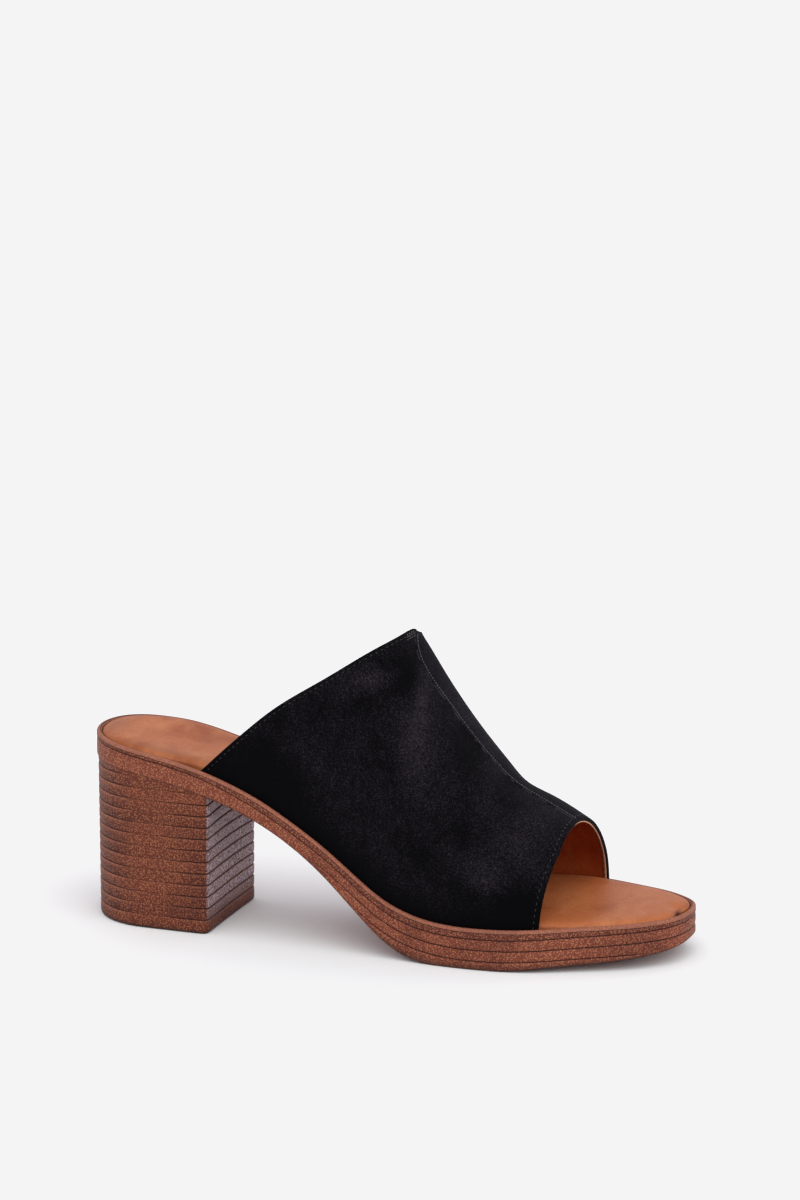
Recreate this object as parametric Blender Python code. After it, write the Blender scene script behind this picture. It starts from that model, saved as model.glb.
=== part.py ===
"""Right-foot open-toe mule on a block heel: sole, heel, insole and a hollow upper.

The frame is in metres with +Z up and the floor at z = 0. +X runs from the heel to the toe and +Y to
the medial (inner) side, so -Y is the lateral (outer) side of this right shoe. The origin is under the
middle of the whole shoe. Every size below is in millimetres. Places are measured from the centre line
of the heel and from near the middle of the length, and are moved over and turned into metres when a
mesh is made.
"""

import math
from typing import NamedTuple

import bmesh
import bpy
import numpy as np

MM = 0.001

# Driving sizes of the whole shoe.
LENGTH = 241.9
REAR_X = -121.8
TOE_X = REAR_X + LENGTH
MIDDLE_X = REAR_X + LENGTH / 2
CENTRE_LINE_Y = -4.5  # where the heel's centre line lies beside the middle of the whole shoe
GAP = 0.3  # clearance between pieces that touch on the real shoe

# The sole's moulded rim, which stands round the insole and the foot of the upper.
LIP_WIDTH = 2.0
LIP_ROUND = 0.55
RECESS_DEPTH = 3.0
SOLE_EDGE_ROUND = 0.6

# Grooves moulded round the side of the sole, which make it look stacked from layers.
SOLE_LAYER = 4.3
SOLE_GROOVE_HALF = 0.38
SOLE_GROOVE_DEPTH = 0.5
SOLE_GROOVES = 3
SOLE_GROOVE_START = -26.0  # x where the second groove runs in, with the third behind it
SOLE_GROOVE_RUN_IN = 12.0
SOLE_GROOVE_RUN_OUT = 1.2  # height over the tread at which a groove is at its full depth

# The block heel, which is all but straight from the seat to the floor.
HEEL_BREAST_TOP = -66.0
HEEL_BREAST_BOTTOM = -66.4
HEEL_REAR_TOP = -121.5
HEEL_REAR_BOTTOM = -121.4
HEEL_LATERAL_TOP = 28.2
HEEL_MEDIAL_TOP = 25.8
HEEL_LATERAL_BOTTOM = 28.3
HEEL_MEDIAL_BOTTOM = 25.6
HEEL_SEAT_RADIUS = 27.6
HEEL_TAPER_HEIGHT = 55.0
HEEL_HOLLOW_TOP = 2.1
HEEL_HOLLOW_BOTTOM = 0.3
HEEL_CORNER_ROUND = 1.6
HEEL_ROUND_POINTS = 9  # on each side of its rounded rear
HEEL_SIDE_SHARES = (0.35, 0.7, 1.0)  # places of the points along each side
HEEL_BREAST_POINTS = 8
HEEL_EDGE_ROUND = 0.7
HEEL_GROOVES = 13
HEEL_GROOVE_FIRST = 5.6
HEEL_GROOVE_PITCH = 4.66
HEEL_GROOVE_HALF = 0.42
HEEL_GROOVE_DEPTH = 0.55
HEEL_GROOVE_FAINT = 0.45  # share of the depth that is left in the middle of each side
HEEL_FAINT_BEHIND = (12.0, 26.0)  # distances from the rear over which the grooves grow faint
HEEL_FAINT_AHEAD = (6.0, 18.0)  # distances from the breast over which they do so there
HEEL_FAINT_ASIDE = (15.0, 22.0)  # distances from the centre line over which they grow faint
HEEL_GROOVE_RUN_OUT = (0.5, 2.0)  # distances under the top over which a groove runs out

CROWD = 0.13  # least spacing of the rings of grooves that have run out

# The padded insole.
INSOLE_PROUD = 1.5  # height of its middle over the rim, at the heel and the toe
INSOLE_PROUD_BY_WALL = 2.4  # and under the upper
INSOLE_EDGE_DROP = 1.5
INSOLE_EDGE_ROUND = 1.8
INSOLE_SLACK = 0.6  # gap to the rim where no upper comes between
INSOLE_WALL_ROOM = 3.5  # how far past each end of the upper's foot the insole stays clear of it
INSOLE_BLEND = 8.0

# The upper: fabric and lining are one wall, with a lapped seam down its front.
WALL = 1.9
WALL_GAP = 0.45  # clearance of the wall's foot from the rim and the recess
SWELL = 1.4  # how far its sides stand out over the rim
SWELL_RISE = (1.5, 16.0)  # heights over its foot between which they come out that far
SEAM_STEP = 0.45
SEAM_STEP_WIDTH = 0.012
SEAM_FLUSH = 1.5  # where the lap has run out on the medial side

SHARP_DEGREES = 35.0
SLOPE_STEP = 0.5  # how far to each side an edge's slope is read
NORMAL_STEP_ALONG = 0.1
NORMAL_STEP_ACROSS = 0.01
HALVINGS = 40

STATIONS = 45  # cross-sections of sole and insole, heel to toe
UPPER_ALONG = 24
UPPER_HALF_ACROSS = 19


class SoleRow(NamedTuple):
    """One cross-section of the sole: half-widths from the centre line, and heights over the floor."""

    x: float
    lateral: float
    medial: float
    rim: float
    bottom: float
    top_layer: float


SOLE_TABLE = (
    SoleRow(REAR_X, 0.0, 0.0, 75.2, 65.2, 2.6),
    SoleRow(-117.0, -16.0, 16.0, 74.6, 64.6, 2.6),
    SoleRow(-106.5, -24.6, 24.6, 73.1, 63.1, 2.6),
    SoleRow(-93.0, -27.9, 27.7, 71.2, 61.3, 2.6),
    SoleRow(-72.0, -28.5, 25.6, 66.9, 57.1, 2.7),
    SoleRow(-58.0, -28.9, 24.0, 62.5, 52.9, 3.4),
    SoleRow(-44.0, -29.4, 23.2, 56.6, 47.1, 3.9),
    SoleRow(-30.0, -30.1, 24.2, 48.7, 39.0, 3.9),
    SoleRow(-17.0, -31.1, 26.5, 40.6, 29.2, 3.9),
    SoleRow(-5.0, -32.5, 29.6, 31.9, 18.0, 3.9),
    SoleRow(6.0, -34.0, 32.8, 24.0, 8.2, 4.0),
    SoleRow(15.0, -35.1, 35.6, 20.0, 2.4, 4.0),
    SoleRow(26.0, -36.3, 39.4, 17.3, 0.0, 4.0),
    SoleRow(41.0, -37.0, 43.6, 16.1, 0.0, 4.0),
    SoleRow(57.0, -36.1, 45.9, 16.4, 0.0, 4.0),
    SoleRow(65.0, -34.5, 46.0, 16.7, 0.9, 3.9),
    SoleRow(73.0, -31.8, 44.8, 17.1, 1.8, 3.8),
    SoleRow(80.0, -28.6, 42.1, 17.4, 2.4, 3.6),
    SoleRow(88.0, -25.2, 38.8, 17.7, 3.0, 3.5),
    SoleRow(104.0, -16.8, 32.2, 18.1, 4.5, 3.2),
    SoleRow(113.0, -9.6, 25.4, 18.4, 6.0, 3.1),
    SoleRow(118.0, -2.2, 18.8, 18.8, 7.1, 3.1),
    SoleRow(TOE_X, 8.4, 8.4, 19.0, 8.4, 3.1),
)


class UpperRow(NamedTuple):
    """One cross-section of the upper's outer face, at x: its crown and how full each side is."""

    x: float
    crown_y: float
    crown_z: float
    lateral_fullness: float
    medial_fullness: float


# Behind the throat the rows carry the form on over the instep, where the rear edge cuts it.
UPPER_TABLE = (
    UpperRow(-80.0, 3.0, 226.0, 2.2, 2.2),
    UpperRow(-40.0, 3.5, 182.0, 2.2, 2.2),
    UpperRow(-10.0, 4.0, 147.5, 2.25, 2.15),
    UpperRow(8.5, 4.5, 120.9, 2.25, 2.1),
    UpperRow(20.0, 4.5, 102.6, 2.25, 2.0),
    UpperRow(32.0, 4.5, 85.5, 2.3, 1.95),
    UpperRow(42.0, 4.0, 73.4, 2.35, 1.9),
    UpperRow(50.0, 3.5, 64.6, 2.4, 1.85),
    UpperRow(55.0, 3.2, 61.9, 2.4, 1.85),
    UpperRow(61.0, 3.0, 59.5, 2.45, 1.85),
    UpperRow(76.0, 2.0, 51.5, 2.5, 1.85),
    UpperRow(90.0, 1.5, 43.0, 2.5, 1.85),
)


class ThroatRow(NamedTuple):
    """The upper's rear edge as seen from each side: its height over the floor at x."""

    x: float
    lateral: float
    medial: float


THROAT_TABLE = (
    ThroatRow(-76.0, 59.4, 44.0),
    ThroatRow(-62.0, 72.9, 60.5),
    ThroatRow(-54.0, 80.2, 69.0),
    ThroatRow(-39.0, 93.2, 83.0),
    ThroatRow(-18.0, 106.7, 99.0),
    ThroatRow(0.0, 118.2, 113.0),
    ThroatRow(8.5, 122.6, 119.2),
    ThroatRow(20.0, 128.0, 127.0),
)


class MouthRow(NamedTuple):
    """Where the toe opening is cut, at a place across: 0 lateral foot, 1 crown, 2 medial foot."""

    across: float
    x: float


MOUTH_TABLE = (
    MouthRow(0.0, 69.6),
    MouthRow(0.25, 72.1),
    MouthRow(0.6, 75.1),
    MouthRow(1.0, 75.7),
    MouthRow(1.5, 76.6),
    MouthRow(2.0, 77.2),
)


class SeamRow(NamedTuple):
    """The lap's edge across the upper, at a share of the way from the throat to the toe opening."""

    share: float
    across: float


SEAM_TABLE = (
    SeamRow(0.0, 0.99),
    SeamRow(0.05, 0.89),
    SeamRow(0.11, 0.846),
    SeamRow(0.3, 0.888),
    SeamRow(0.47, 0.914),
    SeamRow(0.56, 0.942),
    SeamRow(0.64, 0.966),
    SeamRow(0.72, 0.96),
    SeamRow(0.82, 0.95),
    SeamRow(1.0, 0.968),
)


def smooth_curve(places, values):
    """A function through the points that doesn't overshoot them (a monotone cubic)."""
    places = np.asarray(places, float)
    values = np.asarray(values, float)
    steps = np.diff(places)
    slopes = np.diff(values) / steps
    tangents = np.zeros(len(places))
    tangents[0], tangents[-1] = slopes[0], slopes[-1]
    for i in range(1, len(places) - 1):
        before, after = slopes[i - 1], slopes[i]
        if before * after > 0:
            w_before = 2 * steps[i] + steps[i - 1]
            w_after = steps[i] + 2 * steps[i - 1]
            tangents[i] = (w_before + w_after) / (w_before / before + w_after / after)

    def value_at(place):
        place = min(max(place, places[0]), places[-1])
        i = min(int(np.searchsorted(places, place, side="right")) - 1, len(steps) - 1)
        t = (place - places[i]) / steps[i]
        start = (1 + 2 * t) * (1 - t) ** 2 * values[i] + t * (1 - t) ** 2 * steps[i] * tangents[i]
        end = t * t * (3 - 2 * t) * values[i + 1] - t * t * (1 - t) * steps[i] * tangents[i + 1]
        return float(start + end)

    return value_at


def fade(place, start, end):
    """A smooth step from 0 at start to 1 at end."""
    t = min(max((place - start) / (end - start), 0.0), 1.0)
    return t * t * (3 - 2 * t)


def turn_of(x):
    """The angle, 0 to pi, at which a station at x lies when heel and toe end round."""
    return math.acos(min(max(1 - 2 * (x - REAR_X) / LENGTH, -1.0), 1.0))


def sole_column(name):
    """One column of the sole's table as a function of x, rounded off at both ends."""
    turns = [turn_of(row.x) for row in SOLE_TABLE]
    curve = smooth_curve(turns, [getattr(row, name) for row in SOLE_TABLE])
    return lambda x: curve(turn_of(x))


def height_column(name):
    """One height column of the sole's table as a function of x."""
    return smooth_curve([row.x for row in SOLE_TABLE], [getattr(row, name) for row in SOLE_TABLE])


lateral_edge = sole_column("lateral")
medial_edge = sole_column("medial")
rim_height = height_column("rim")
sole_bottom = height_column("bottom")
top_layer = height_column("top_layer")


def sole_outline():
    """The sole's outline, from above: the lateral side from heel to toe, then the medial side back."""
    turns = np.linspace(0, math.pi, STATIONS)
    xs = [REAR_X + LENGTH * (1 - math.cos(turn)) / 2 for turn in turns]
    lateral = [(x, lateral_edge(x)) for x in xs]
    medial = [(x, medial_edge(x)) for x in xs[-2:0:-1]]
    return np.array(lateral + medial)


def inward_normals(outline):
    """The unit normals of a closed outline that runs anticlockwise from above."""
    along = np.roll(outline, -1, axis=0) - np.roll(outline, 1, axis=0)
    along /= np.linalg.norm(along, axis=1)[:, None]
    return np.stack([-along[:, 1], along[:, 0]], axis=1)


def mesh_object(name, points, faces, material):
    """A closed mesh object from points in millimetres, shaded smooth but for its sharp edges."""
    mesh = bpy.data.meshes.new(name)
    placed = [(MM * (x - MIDDLE_X), MM * (y + CENTRE_LINE_Y), MM * z) for x, y, z in points]
    mesh.from_pydata(placed, [], faces)
    shape = bmesh.new()
    shape.from_mesh(mesh)
    bmesh.ops.recalc_face_normals(shape, faces=shape.faces[:])
    bmesh.ops.triangulate(shape, faces=shape.faces[:])
    shape.to_mesh(mesh)
    shape.free()
    mesh.shade_smooth()
    mesh.set_sharp_from_angle(angle=math.radians(SHARP_DEGREES))
    mesh.materials.append(material)
    part = bpy.data.objects.new(name, mesh)
    bpy.context.scene.collection.objects.link(part)
    return part


def ring_faces(rings, count):
    """Quads between each ring and the next, where each ring has count points."""
    faces = []
    for ring in range(rings - 1):
        for i in range(count):
            j = (i + 1) % count
            low, high = ring * count, (ring + 1) * count
            faces.append((low + i, low + j, high + j, high + i))
    return faces


def cross_faces(start, count, paired):
    """Faces that close a ring: quads from side to side over the paired points, then the rest."""
    faces = [(start, start + 1, start + count - 1)]
    for i in range(1, paired):
        faces.append((start + i, start + i + 1, start + count - i - 1, start + count - i))
    if 2 * paired < count - 1:
        faces.append(tuple(range(start + paired, start + count - paired + 1)))
    return faces


def build_sole(material):
    """The moulded sole: rim, recess for insole and upper, grooved side and flat tread."""
    outline = sole_outline()
    inward = inward_normals(outline)
    count = len(outline)
    rings = []

    def ring(inset, height_at):
        placed = outline + inward * np.reshape(inset, (-1, 1))
        rings.append([(x, y, height_at(x)) for x, y in placed])

    def groove_at(number, x):
        """Height and depth at x of a groove, where 0 is the topmost."""
        rings_below = 3 * (SOLE_GROOVES - number) - 1
        lowest = sole_bottom(x) + SOLE_EDGE_ROUND + CROWD * rings_below
        height = rim_height(x) - top_layer(x) - SOLE_LAYER * number
        depth = SOLE_GROOVE_DEPTH * fade(height - lowest, 0.0, SOLE_GROOVE_RUN_OUT)
        if number > 0:
            start = SOLE_GROOVE_START + SOLE_GROOVE_RUN_IN * number
            depth *= fade(x, start - SOLE_GROOVE_RUN_IN, start)
        return max(height, lowest), depth

    ring(LIP_WIDTH, lambda x: rim_height(x) - RECESS_DEPTH)
    ring(LIP_WIDTH, lambda x: rim_height(x) - LIP_ROUND)
    ring(LIP_WIDTH - LIP_ROUND, rim_height)
    ring(LIP_ROUND, rim_height)
    ring(0.0, lambda x: rim_height(x) - LIP_ROUND)
    for number in range(SOLE_GROOVES):
        depths = [groove_at(number, x)[1] for x in outline[:, 0]]
        halves = {x: CROWD + (SOLE_GROOVE_HALF - CROWD) * depth / SOLE_GROOVE_DEPTH
                  for x, depth in zip(outline[:, 0], depths)}
        ring(0.0, lambda x: groove_at(number, x)[0] + halves[x])
        ring(depths, lambda x: groove_at(number, x)[0])
        ring(0.0, lambda x: groove_at(number, x)[0] - halves[x])
    ring(0.0, lambda x: sole_bottom(x) + SOLE_EDGE_ROUND)
    ring(SOLE_EDGE_ROUND, sole_bottom)

    faces = ring_faces(len(rings), count)
    faces += cross_faces(0, count, count // 2)
    faces += cross_faces((len(rings) - 1) * count, count, count // 2)
    return mesh_object("sole", sum(rings, []), faces, material)


def heel_outline(lateral, medial, rear, breast, hollow):
    """The heel from above, from its rear round the lateral side, the breast and the medial side."""
    radius = HEEL_SEAT_RADIUS * (lateral + medial) / (HEEL_LATERAL_TOP + HEEL_MEDIAL_TOP)
    centre = rear + radius
    corner = breast - HEEL_CORNER_ROUND

    def side(half, sign):
        points = []
        for turn in np.linspace(0, math.pi / 2, HEEL_ROUND_POINTS + 1)[1:]:
            points.append((centre - radius * math.cos(turn), sign * radius * math.sin(turn)))
        for share in HEEL_SIDE_SHARES:
            points.append(
                (centre + (corner - centre) * share, sign * (radius + (half - radius) * share))
            )
        return points

    round_medial, round_lateral = medial - HEEL_CORNER_ROUND, -lateral + HEEL_CORNER_ROUND
    middle = (round_medial + round_lateral) / 2
    half = (round_medial - round_lateral) / 2
    front = []
    for y in np.linspace(round_lateral, round_medial, HEEL_BREAST_POINTS):
        front.append((breast - hollow * (1 - ((y - middle) / half) ** 2), y))
    return np.array([(rear, 0.0)] + side(lateral, -1) + front + side(medial, 1)[::-1])


def heel_groove_share(place):
    """How much of a groove's depth shows: all at the rear and breast, less on the sides."""
    x, y = place
    behind = fade(x - HEEL_REAR_BOTTOM, *HEEL_FAINT_BEHIND)
    ahead = fade(HEEL_BREAST_BOTTOM - x, *HEEL_FAINT_AHEAD)
    aside = fade(abs(y), *HEEL_FAINT_ASIDE)
    return 1 - (1 - HEEL_GROOVE_FAINT) * behind * ahead * aside


def build_heel(material):
    """The block heel, ringed by grooves, with its top just under the sole."""
    low = heel_outline(
        HEEL_LATERAL_BOTTOM, HEEL_MEDIAL_BOTTOM, HEEL_REAR_BOTTOM, HEEL_BREAST_BOTTOM, HEEL_HOLLOW_BOTTOM
    )
    high = heel_outline(
        HEEL_LATERAL_TOP, HEEL_MEDIAL_TOP, HEEL_REAR_TOP, HEEL_BREAST_TOP, HEEL_HOLLOW_TOP
    )
    count = len(low)
    tops = [sole_bottom(x) - GAP for x in high[:, 0]]
    shares = [heel_groove_share(place) for place in low]
    rings = []

    def ring(height, inset, rings_above):
        """A ring at a height, kept in order under the top where it would pass it."""
        heights = [min(height, top - CROWD * rings_above) for top in tops]
        tapers = np.array([min(z / HEEL_TAPER_HEIGHT, 1.0) for z in heights])
        placed = low + (high - low) * tapers[:, None]
        insets = [inset * share for share in shares]
        if rings_above:
            insets = [d * fade(top - height, *HEEL_GROOVE_RUN_OUT) for d, top in zip(insets, tops)]
        placed += inward_normals(placed) * np.reshape(insets, (-1, 1))
        rings.append([(x, y, z) for (x, y), z in zip(placed, heights)])

    last = 3 * HEEL_GROOVES
    rings.append([(x, y, 0.0) for x, y in low + inward_normals(low) * HEEL_EDGE_ROUND])
    ring(HEEL_EDGE_ROUND, 0.0, last + 1)
    for number in range(HEEL_GROOVES):
        z = HEEL_GROOVE_FIRST + HEEL_GROOVE_PITCH * number
        ring(z - HEEL_GROOVE_HALF, 0.0, last - 3 * number)
        ring(z, HEEL_GROOVE_DEPTH, last - 3 * number - 1)
        ring(z + HEEL_GROOVE_HALF, 0.0, last - 3 * number - 2)
    ring(2 * rim_height(REAR_X), 0.0, 0)

    paired = (count - HEEL_BREAST_POINTS) // 2
    faces = ring_faces(len(rings), count)
    faces += cross_faces(0, count, paired) + cross_faces((len(rings) - 1) * count, count, paired)
    return mesh_object("heel", sum(rings, []), faces, material)


def wall_zone(x, side):
    """1 where the upper stands between rim and insole on a side (0 lateral, 1 medial), else 0."""
    start = throat_cut(2.0 * side) - INSOLE_WALL_ROOM
    end = mouth_cut(2.0 * side) + INSOLE_WALL_ROOM
    return fade(x, start - INSOLE_BLEND, start) * (1 - fade(x, end, end + INSOLE_BLEND))


def build_insole(material):
    """The padded insole, which lies in the recess and leaves room for the foot of the upper."""
    outline = sole_outline()
    inward = inward_normals(outline)
    count = len(outline)
    by_rim, by_wall = LIP_WIDTH + INSOLE_SLACK, LIP_WIDTH + WALL_GAP + WALL + GAP
    zones = np.array([wall_zone(x, i > count // 2) for i, (x, _) in enumerate(outline)])
    insets = by_rim + (by_wall - by_rim) * zones
    tops = INSOLE_PROUD + (INSOLE_PROUD_BY_WALL - INSOLE_PROUD) * zones
    rings = []

    def ring(extra, over_rim):
        placed = outline + inward * (insets + extra)[:, None]
        rings.append([(x, y, rim_height(x) + over) for (x, y), over in zip(placed, over_rim)])

    ring(0.0, zones * 0 + GAP - RECESS_DEPTH)
    ring(0.0, tops - INSOLE_EDGE_DROP - INSOLE_EDGE_ROUND / 3)
    ring(INSOLE_EDGE_ROUND / 4, tops - INSOLE_EDGE_DROP)
    ring(INSOLE_EDGE_ROUND, tops - INSOLE_EDGE_DROP / 4)
    ring(3 * INSOLE_EDGE_ROUND, tops)
    faces = ring_faces(len(rings), count)
    faces += cross_faces(0, count, count // 2)
    faces += cross_faces((len(rings) - 1) * count, count, count // 2)
    return mesh_object("insole", sum(rings, []), faces, material)


def upper_column(name):
    """One column of the upper's table as a function of x."""
    return smooth_curve([row.x for row in UPPER_TABLE], [getattr(row, name) for row in UPPER_TABLE])


crown_y = upper_column("crown_y")
crown_z = upper_column("crown_z")
lateral_fullness = upper_column("lateral_fullness")
medial_fullness = upper_column("medial_fullness")
throat_x = [row.x for row in THROAT_TABLE]
lateral_throat = smooth_curve(throat_x, [row.lateral for row in THROAT_TABLE])
medial_throat = smooth_curve(throat_x, [row.medial for row in THROAT_TABLE])
mouth_cut = smooth_curve([row.across for row in MOUTH_TABLE], [row.x for row in MOUTH_TABLE])
seam_across = smooth_curve([row.share for row in SEAM_TABLE], [row.across for row in SEAM_TABLE])


def foot_y(x, edge):
    """Where the upper's outer face starts at x, just inside the rim, for one edge of the sole."""
    slope = (edge(x + SLOPE_STEP) - edge(x - SLOPE_STEP)) / (2 * SLOPE_STEP)
    inset = (LIP_WIDTH + WALL_GAP) * math.hypot(1, slope)
    return edge(x) - math.copysign(inset, edge(x))


def upper_surface(x, across):
    """The upper's outer face: across is 0 at the lateral foot, 1 at the crown, 2 at the medial."""
    lateral = across <= 1
    edge = lateral_edge if lateral else medial_edge
    full = (lateral_fullness if lateral else medial_fullness)(x)
    turn = math.pi / 2 * (across if lateral else 2 - across)
    foot_z = rim_height(x) - RECESS_DEPTH + WALL_GAP
    out = abs(math.cos(turn)) ** (2 / full)
    up = math.sin(turn) ** (2 / full)
    rise = up * (crown_z(x) - foot_z)
    swell = math.copysign(SWELL, edge(x)) * fade(rise, *SWELL_RISE) * out
    y = crown_y(x) + (foot_y(x, edge) - crown_y(x)) * out + swell
    return np.array((x, y, foot_z + rise))


def throat_cut(across):
    """The x at which the rear edge cuts the upper at a place across, found by halving."""
    throat = lateral_throat if across <= seam_across(0) else medial_throat
    low, high = throat_x[0], throat_x[-1]
    for _ in range(HALVINGS):
        x = (low + high) / 2
        if upper_surface(x, across)[2] > throat(x):
            low = x
        else:
            high = x
    return x


def upper_normal(x, across):
    """The outward normal of the upper's outer face."""
    step = NORMAL_STEP_ACROSS
    across = min(max(across, step), 2 - step)
    ahead = upper_surface(x + NORMAL_STEP_ALONG, across)
    along = ahead - upper_surface(x - NORMAL_STEP_ALONG, across)
    over = upper_surface(x, across + step) - upper_surface(x, across - step)
    normal = np.cross(along, over)
    return normal / np.linalg.norm(normal)


def places_across(share):
    """The places across the upper of one line of points, and how proud the medial lap stands."""
    seam = seam_across(share)
    lateral = np.linspace(0, seam, UPPER_HALF_ACROSS)
    medial = np.linspace(seam + SEAM_STEP_WIDTH, 2, UPPER_HALF_ACROSS + 2)
    laps = [0.0] * len(lateral) + [SEAM_STEP * (1 - fade(y, 1, SEAM_FLUSH)) for y in medial]
    return list(zip([*lateral, *medial], laps))


def build_upper(material):
    """The upper: one hollow wall, open at the throat, the toe and underneath."""
    outer, inner = [], []
    for share in np.linspace(0, 1, UPPER_ALONG):
        for across, lap in places_across(share):
            x = throat_cut(across) * (1 - share) + mouth_cut(across) * share
            point, normal = upper_surface(x, across), upper_normal(x, across)
            if across in (0.0, 2.0):
                normal[2] = 0.0
                normal /= np.linalg.norm(normal)
            outer.append(point + normal * lap)
            inner.append(point - normal * WALL)
    width, shift = len(outer) // UPPER_ALONG, len(outer)
    faces = []
    for i in range(UPPER_ALONG - 1):
        for j in range(width - 1):
            corner = i * width + j
            quad = (corner, corner + 1, corner + 1 + width, corner + width)
            faces.append(quad)
            faces.append(tuple(k + shift for k in quad[::-1]))
        for j in (0, width - 1):
            low, high = i * width + j, (i + 1) * width + j
            faces.append((low, high, high + shift, low + shift))
    for i in (0, UPPER_ALONG - 1):
        for j in range(width - 1):
            left = i * width + j
            faces.append((left, left + 1, left + 1 + shift, left + shift))
    return mesh_object("upper", outer + inner, faces, material)


def plain_material(name, colour, roughness):
    """A Principled material of one colour."""
    material = bpy.data.materials.new(name)
    material.use_nodes = True
    shader = material.node_tree.nodes["Principled BSDF"]
    shader.inputs["Base Color"].default_value = (*colour, 1.0)
    shader.inputs["Roughness"].default_value = roughness
    shader.inputs["Metallic"].default_value = 0.0
    return material


def main():
    """Clear the scene and build the shoe."""
    for old in list(bpy.data.objects):
        bpy.data.objects.remove(old, do_unlink=True)
    build_sole(plain_material("sole_moulding", (0.19, 0.065, 0.038), 0.5))
    build_heel(plain_material("heel_moulding", (0.18, 0.06, 0.035), 0.5))
    build_insole(plain_material("insole_leather", (0.5, 0.19, 0.08), 0.5))
    build_upper(plain_material("upper_suede", (0.009, 0.008, 0.01), 0.9))


main()
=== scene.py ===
"""Looks of a right-foot open-toe mule with a block heel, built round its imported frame.

The frame holds four solids: sole, heel, insole and upper. Each is replaced by refined pieces that keep
its form: the sole and the heel get rounded lips and worn grooves, the insole becomes a padded footbed,
and the upper's wall is parted into two outer panels and a lining, then folded, hemmed and stitched.
Everything is in metres, with +X to the toe, +Y to the inner side of the foot and +Z up.
"""

from __future__ import annotations

import logging
import math
from collections import defaultdict
from dataclasses import dataclass
from enum import IntEnum
from typing import Iterable, Sequence

import bpy
import numpy as np
from mathutils import Matrix, Vector, noise
from mathutils.bvhtree import BVHTree
from mathutils.kdtree import KDTree

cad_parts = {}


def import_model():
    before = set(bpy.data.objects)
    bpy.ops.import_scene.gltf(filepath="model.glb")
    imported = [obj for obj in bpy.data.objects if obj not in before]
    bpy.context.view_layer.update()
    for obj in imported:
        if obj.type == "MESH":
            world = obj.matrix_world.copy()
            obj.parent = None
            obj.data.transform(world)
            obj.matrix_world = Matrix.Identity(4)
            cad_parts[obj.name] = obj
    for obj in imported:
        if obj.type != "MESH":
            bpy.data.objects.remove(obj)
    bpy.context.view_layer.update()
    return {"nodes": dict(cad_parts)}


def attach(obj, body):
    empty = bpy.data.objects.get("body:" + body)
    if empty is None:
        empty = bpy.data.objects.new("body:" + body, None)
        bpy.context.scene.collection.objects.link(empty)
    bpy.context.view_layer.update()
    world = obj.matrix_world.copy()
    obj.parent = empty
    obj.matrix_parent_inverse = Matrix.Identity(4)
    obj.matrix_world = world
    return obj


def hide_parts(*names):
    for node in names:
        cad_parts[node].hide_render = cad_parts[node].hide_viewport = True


log = logging.getLogger("mule")

Colour = tuple[float, float, float]
Triple = tuple[float, float, float]
Place = tuple[float, float]
Rows = np.ndarray
Stitches = tuple[Rows, Rows, Rows]
Piece = bpy.types.Object
Material = bpy.types.Material
MM = 0.001
BODY = "root"
# How dark the underside's first two rings are made.
TREAD_EDGE = ((0.25,), (1.0,))


# ---- Shader maths ----


class Value:
    """A node socket that takes part in Python expressions, each of which adds its Math nodes."""

    def __init__(self, graph: Graph, socket: bpy.types.NodeSocket) -> None:
        """Wrap a socket.

        Args:
            graph: the material's graph that the socket belongs to.
            socket: an output socket.
        """
        self.graph = graph
        self.socket = socket

    def _math(self, operation: str, *terms: Value | float) -> Value:
        """Add a Math node.

        Args:
            operation: the node's operation.
            terms: its inputs in order.

        Returns:
            The node's result.
        """
        return self.graph.node("ShaderNodeMath", {"operation": operation}, dict(enumerate(terms)))

    def __add__(self, other: Value | float) -> Value:
        """Add."""
        return self._math("ADD", self, other)

    __radd__ = __add__

    def __sub__(self, other: Value | float) -> Value:
        """Subtract."""
        return self._math("SUBTRACT", self, other)

    def __rsub__(self, other: Value | float) -> Value:
        """Subtract from a number."""
        return self._math("SUBTRACT", other, self)

    def __mul__(self, other: Value | float) -> Value:
        """Multiply."""
        return self._math("MULTIPLY", self, other)

    __rmul__ = __mul__

    def step(self, start: float, end: float) -> Value:
        """Rise smoothly from 0 to 1.

        Args:
            start: where it is 0.
            end: where it is 1, which may be below start.

        Returns:
            The smooth step, limited to 0 to 1.
        """
        low, high = min(start, end), max(start, end)
        to_low, to_high = (0.0, 1.0) if start < end else (1.0, 0.0)
        sockets = {"Value": self, "From Min": low, "From Max": high, "To Min": to_low, "To Max": to_high}
        return self.graph.node("ShaderNodeMapRange", {"interpolation_type": "SMOOTHSTEP"}, sockets, "Result")


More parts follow.
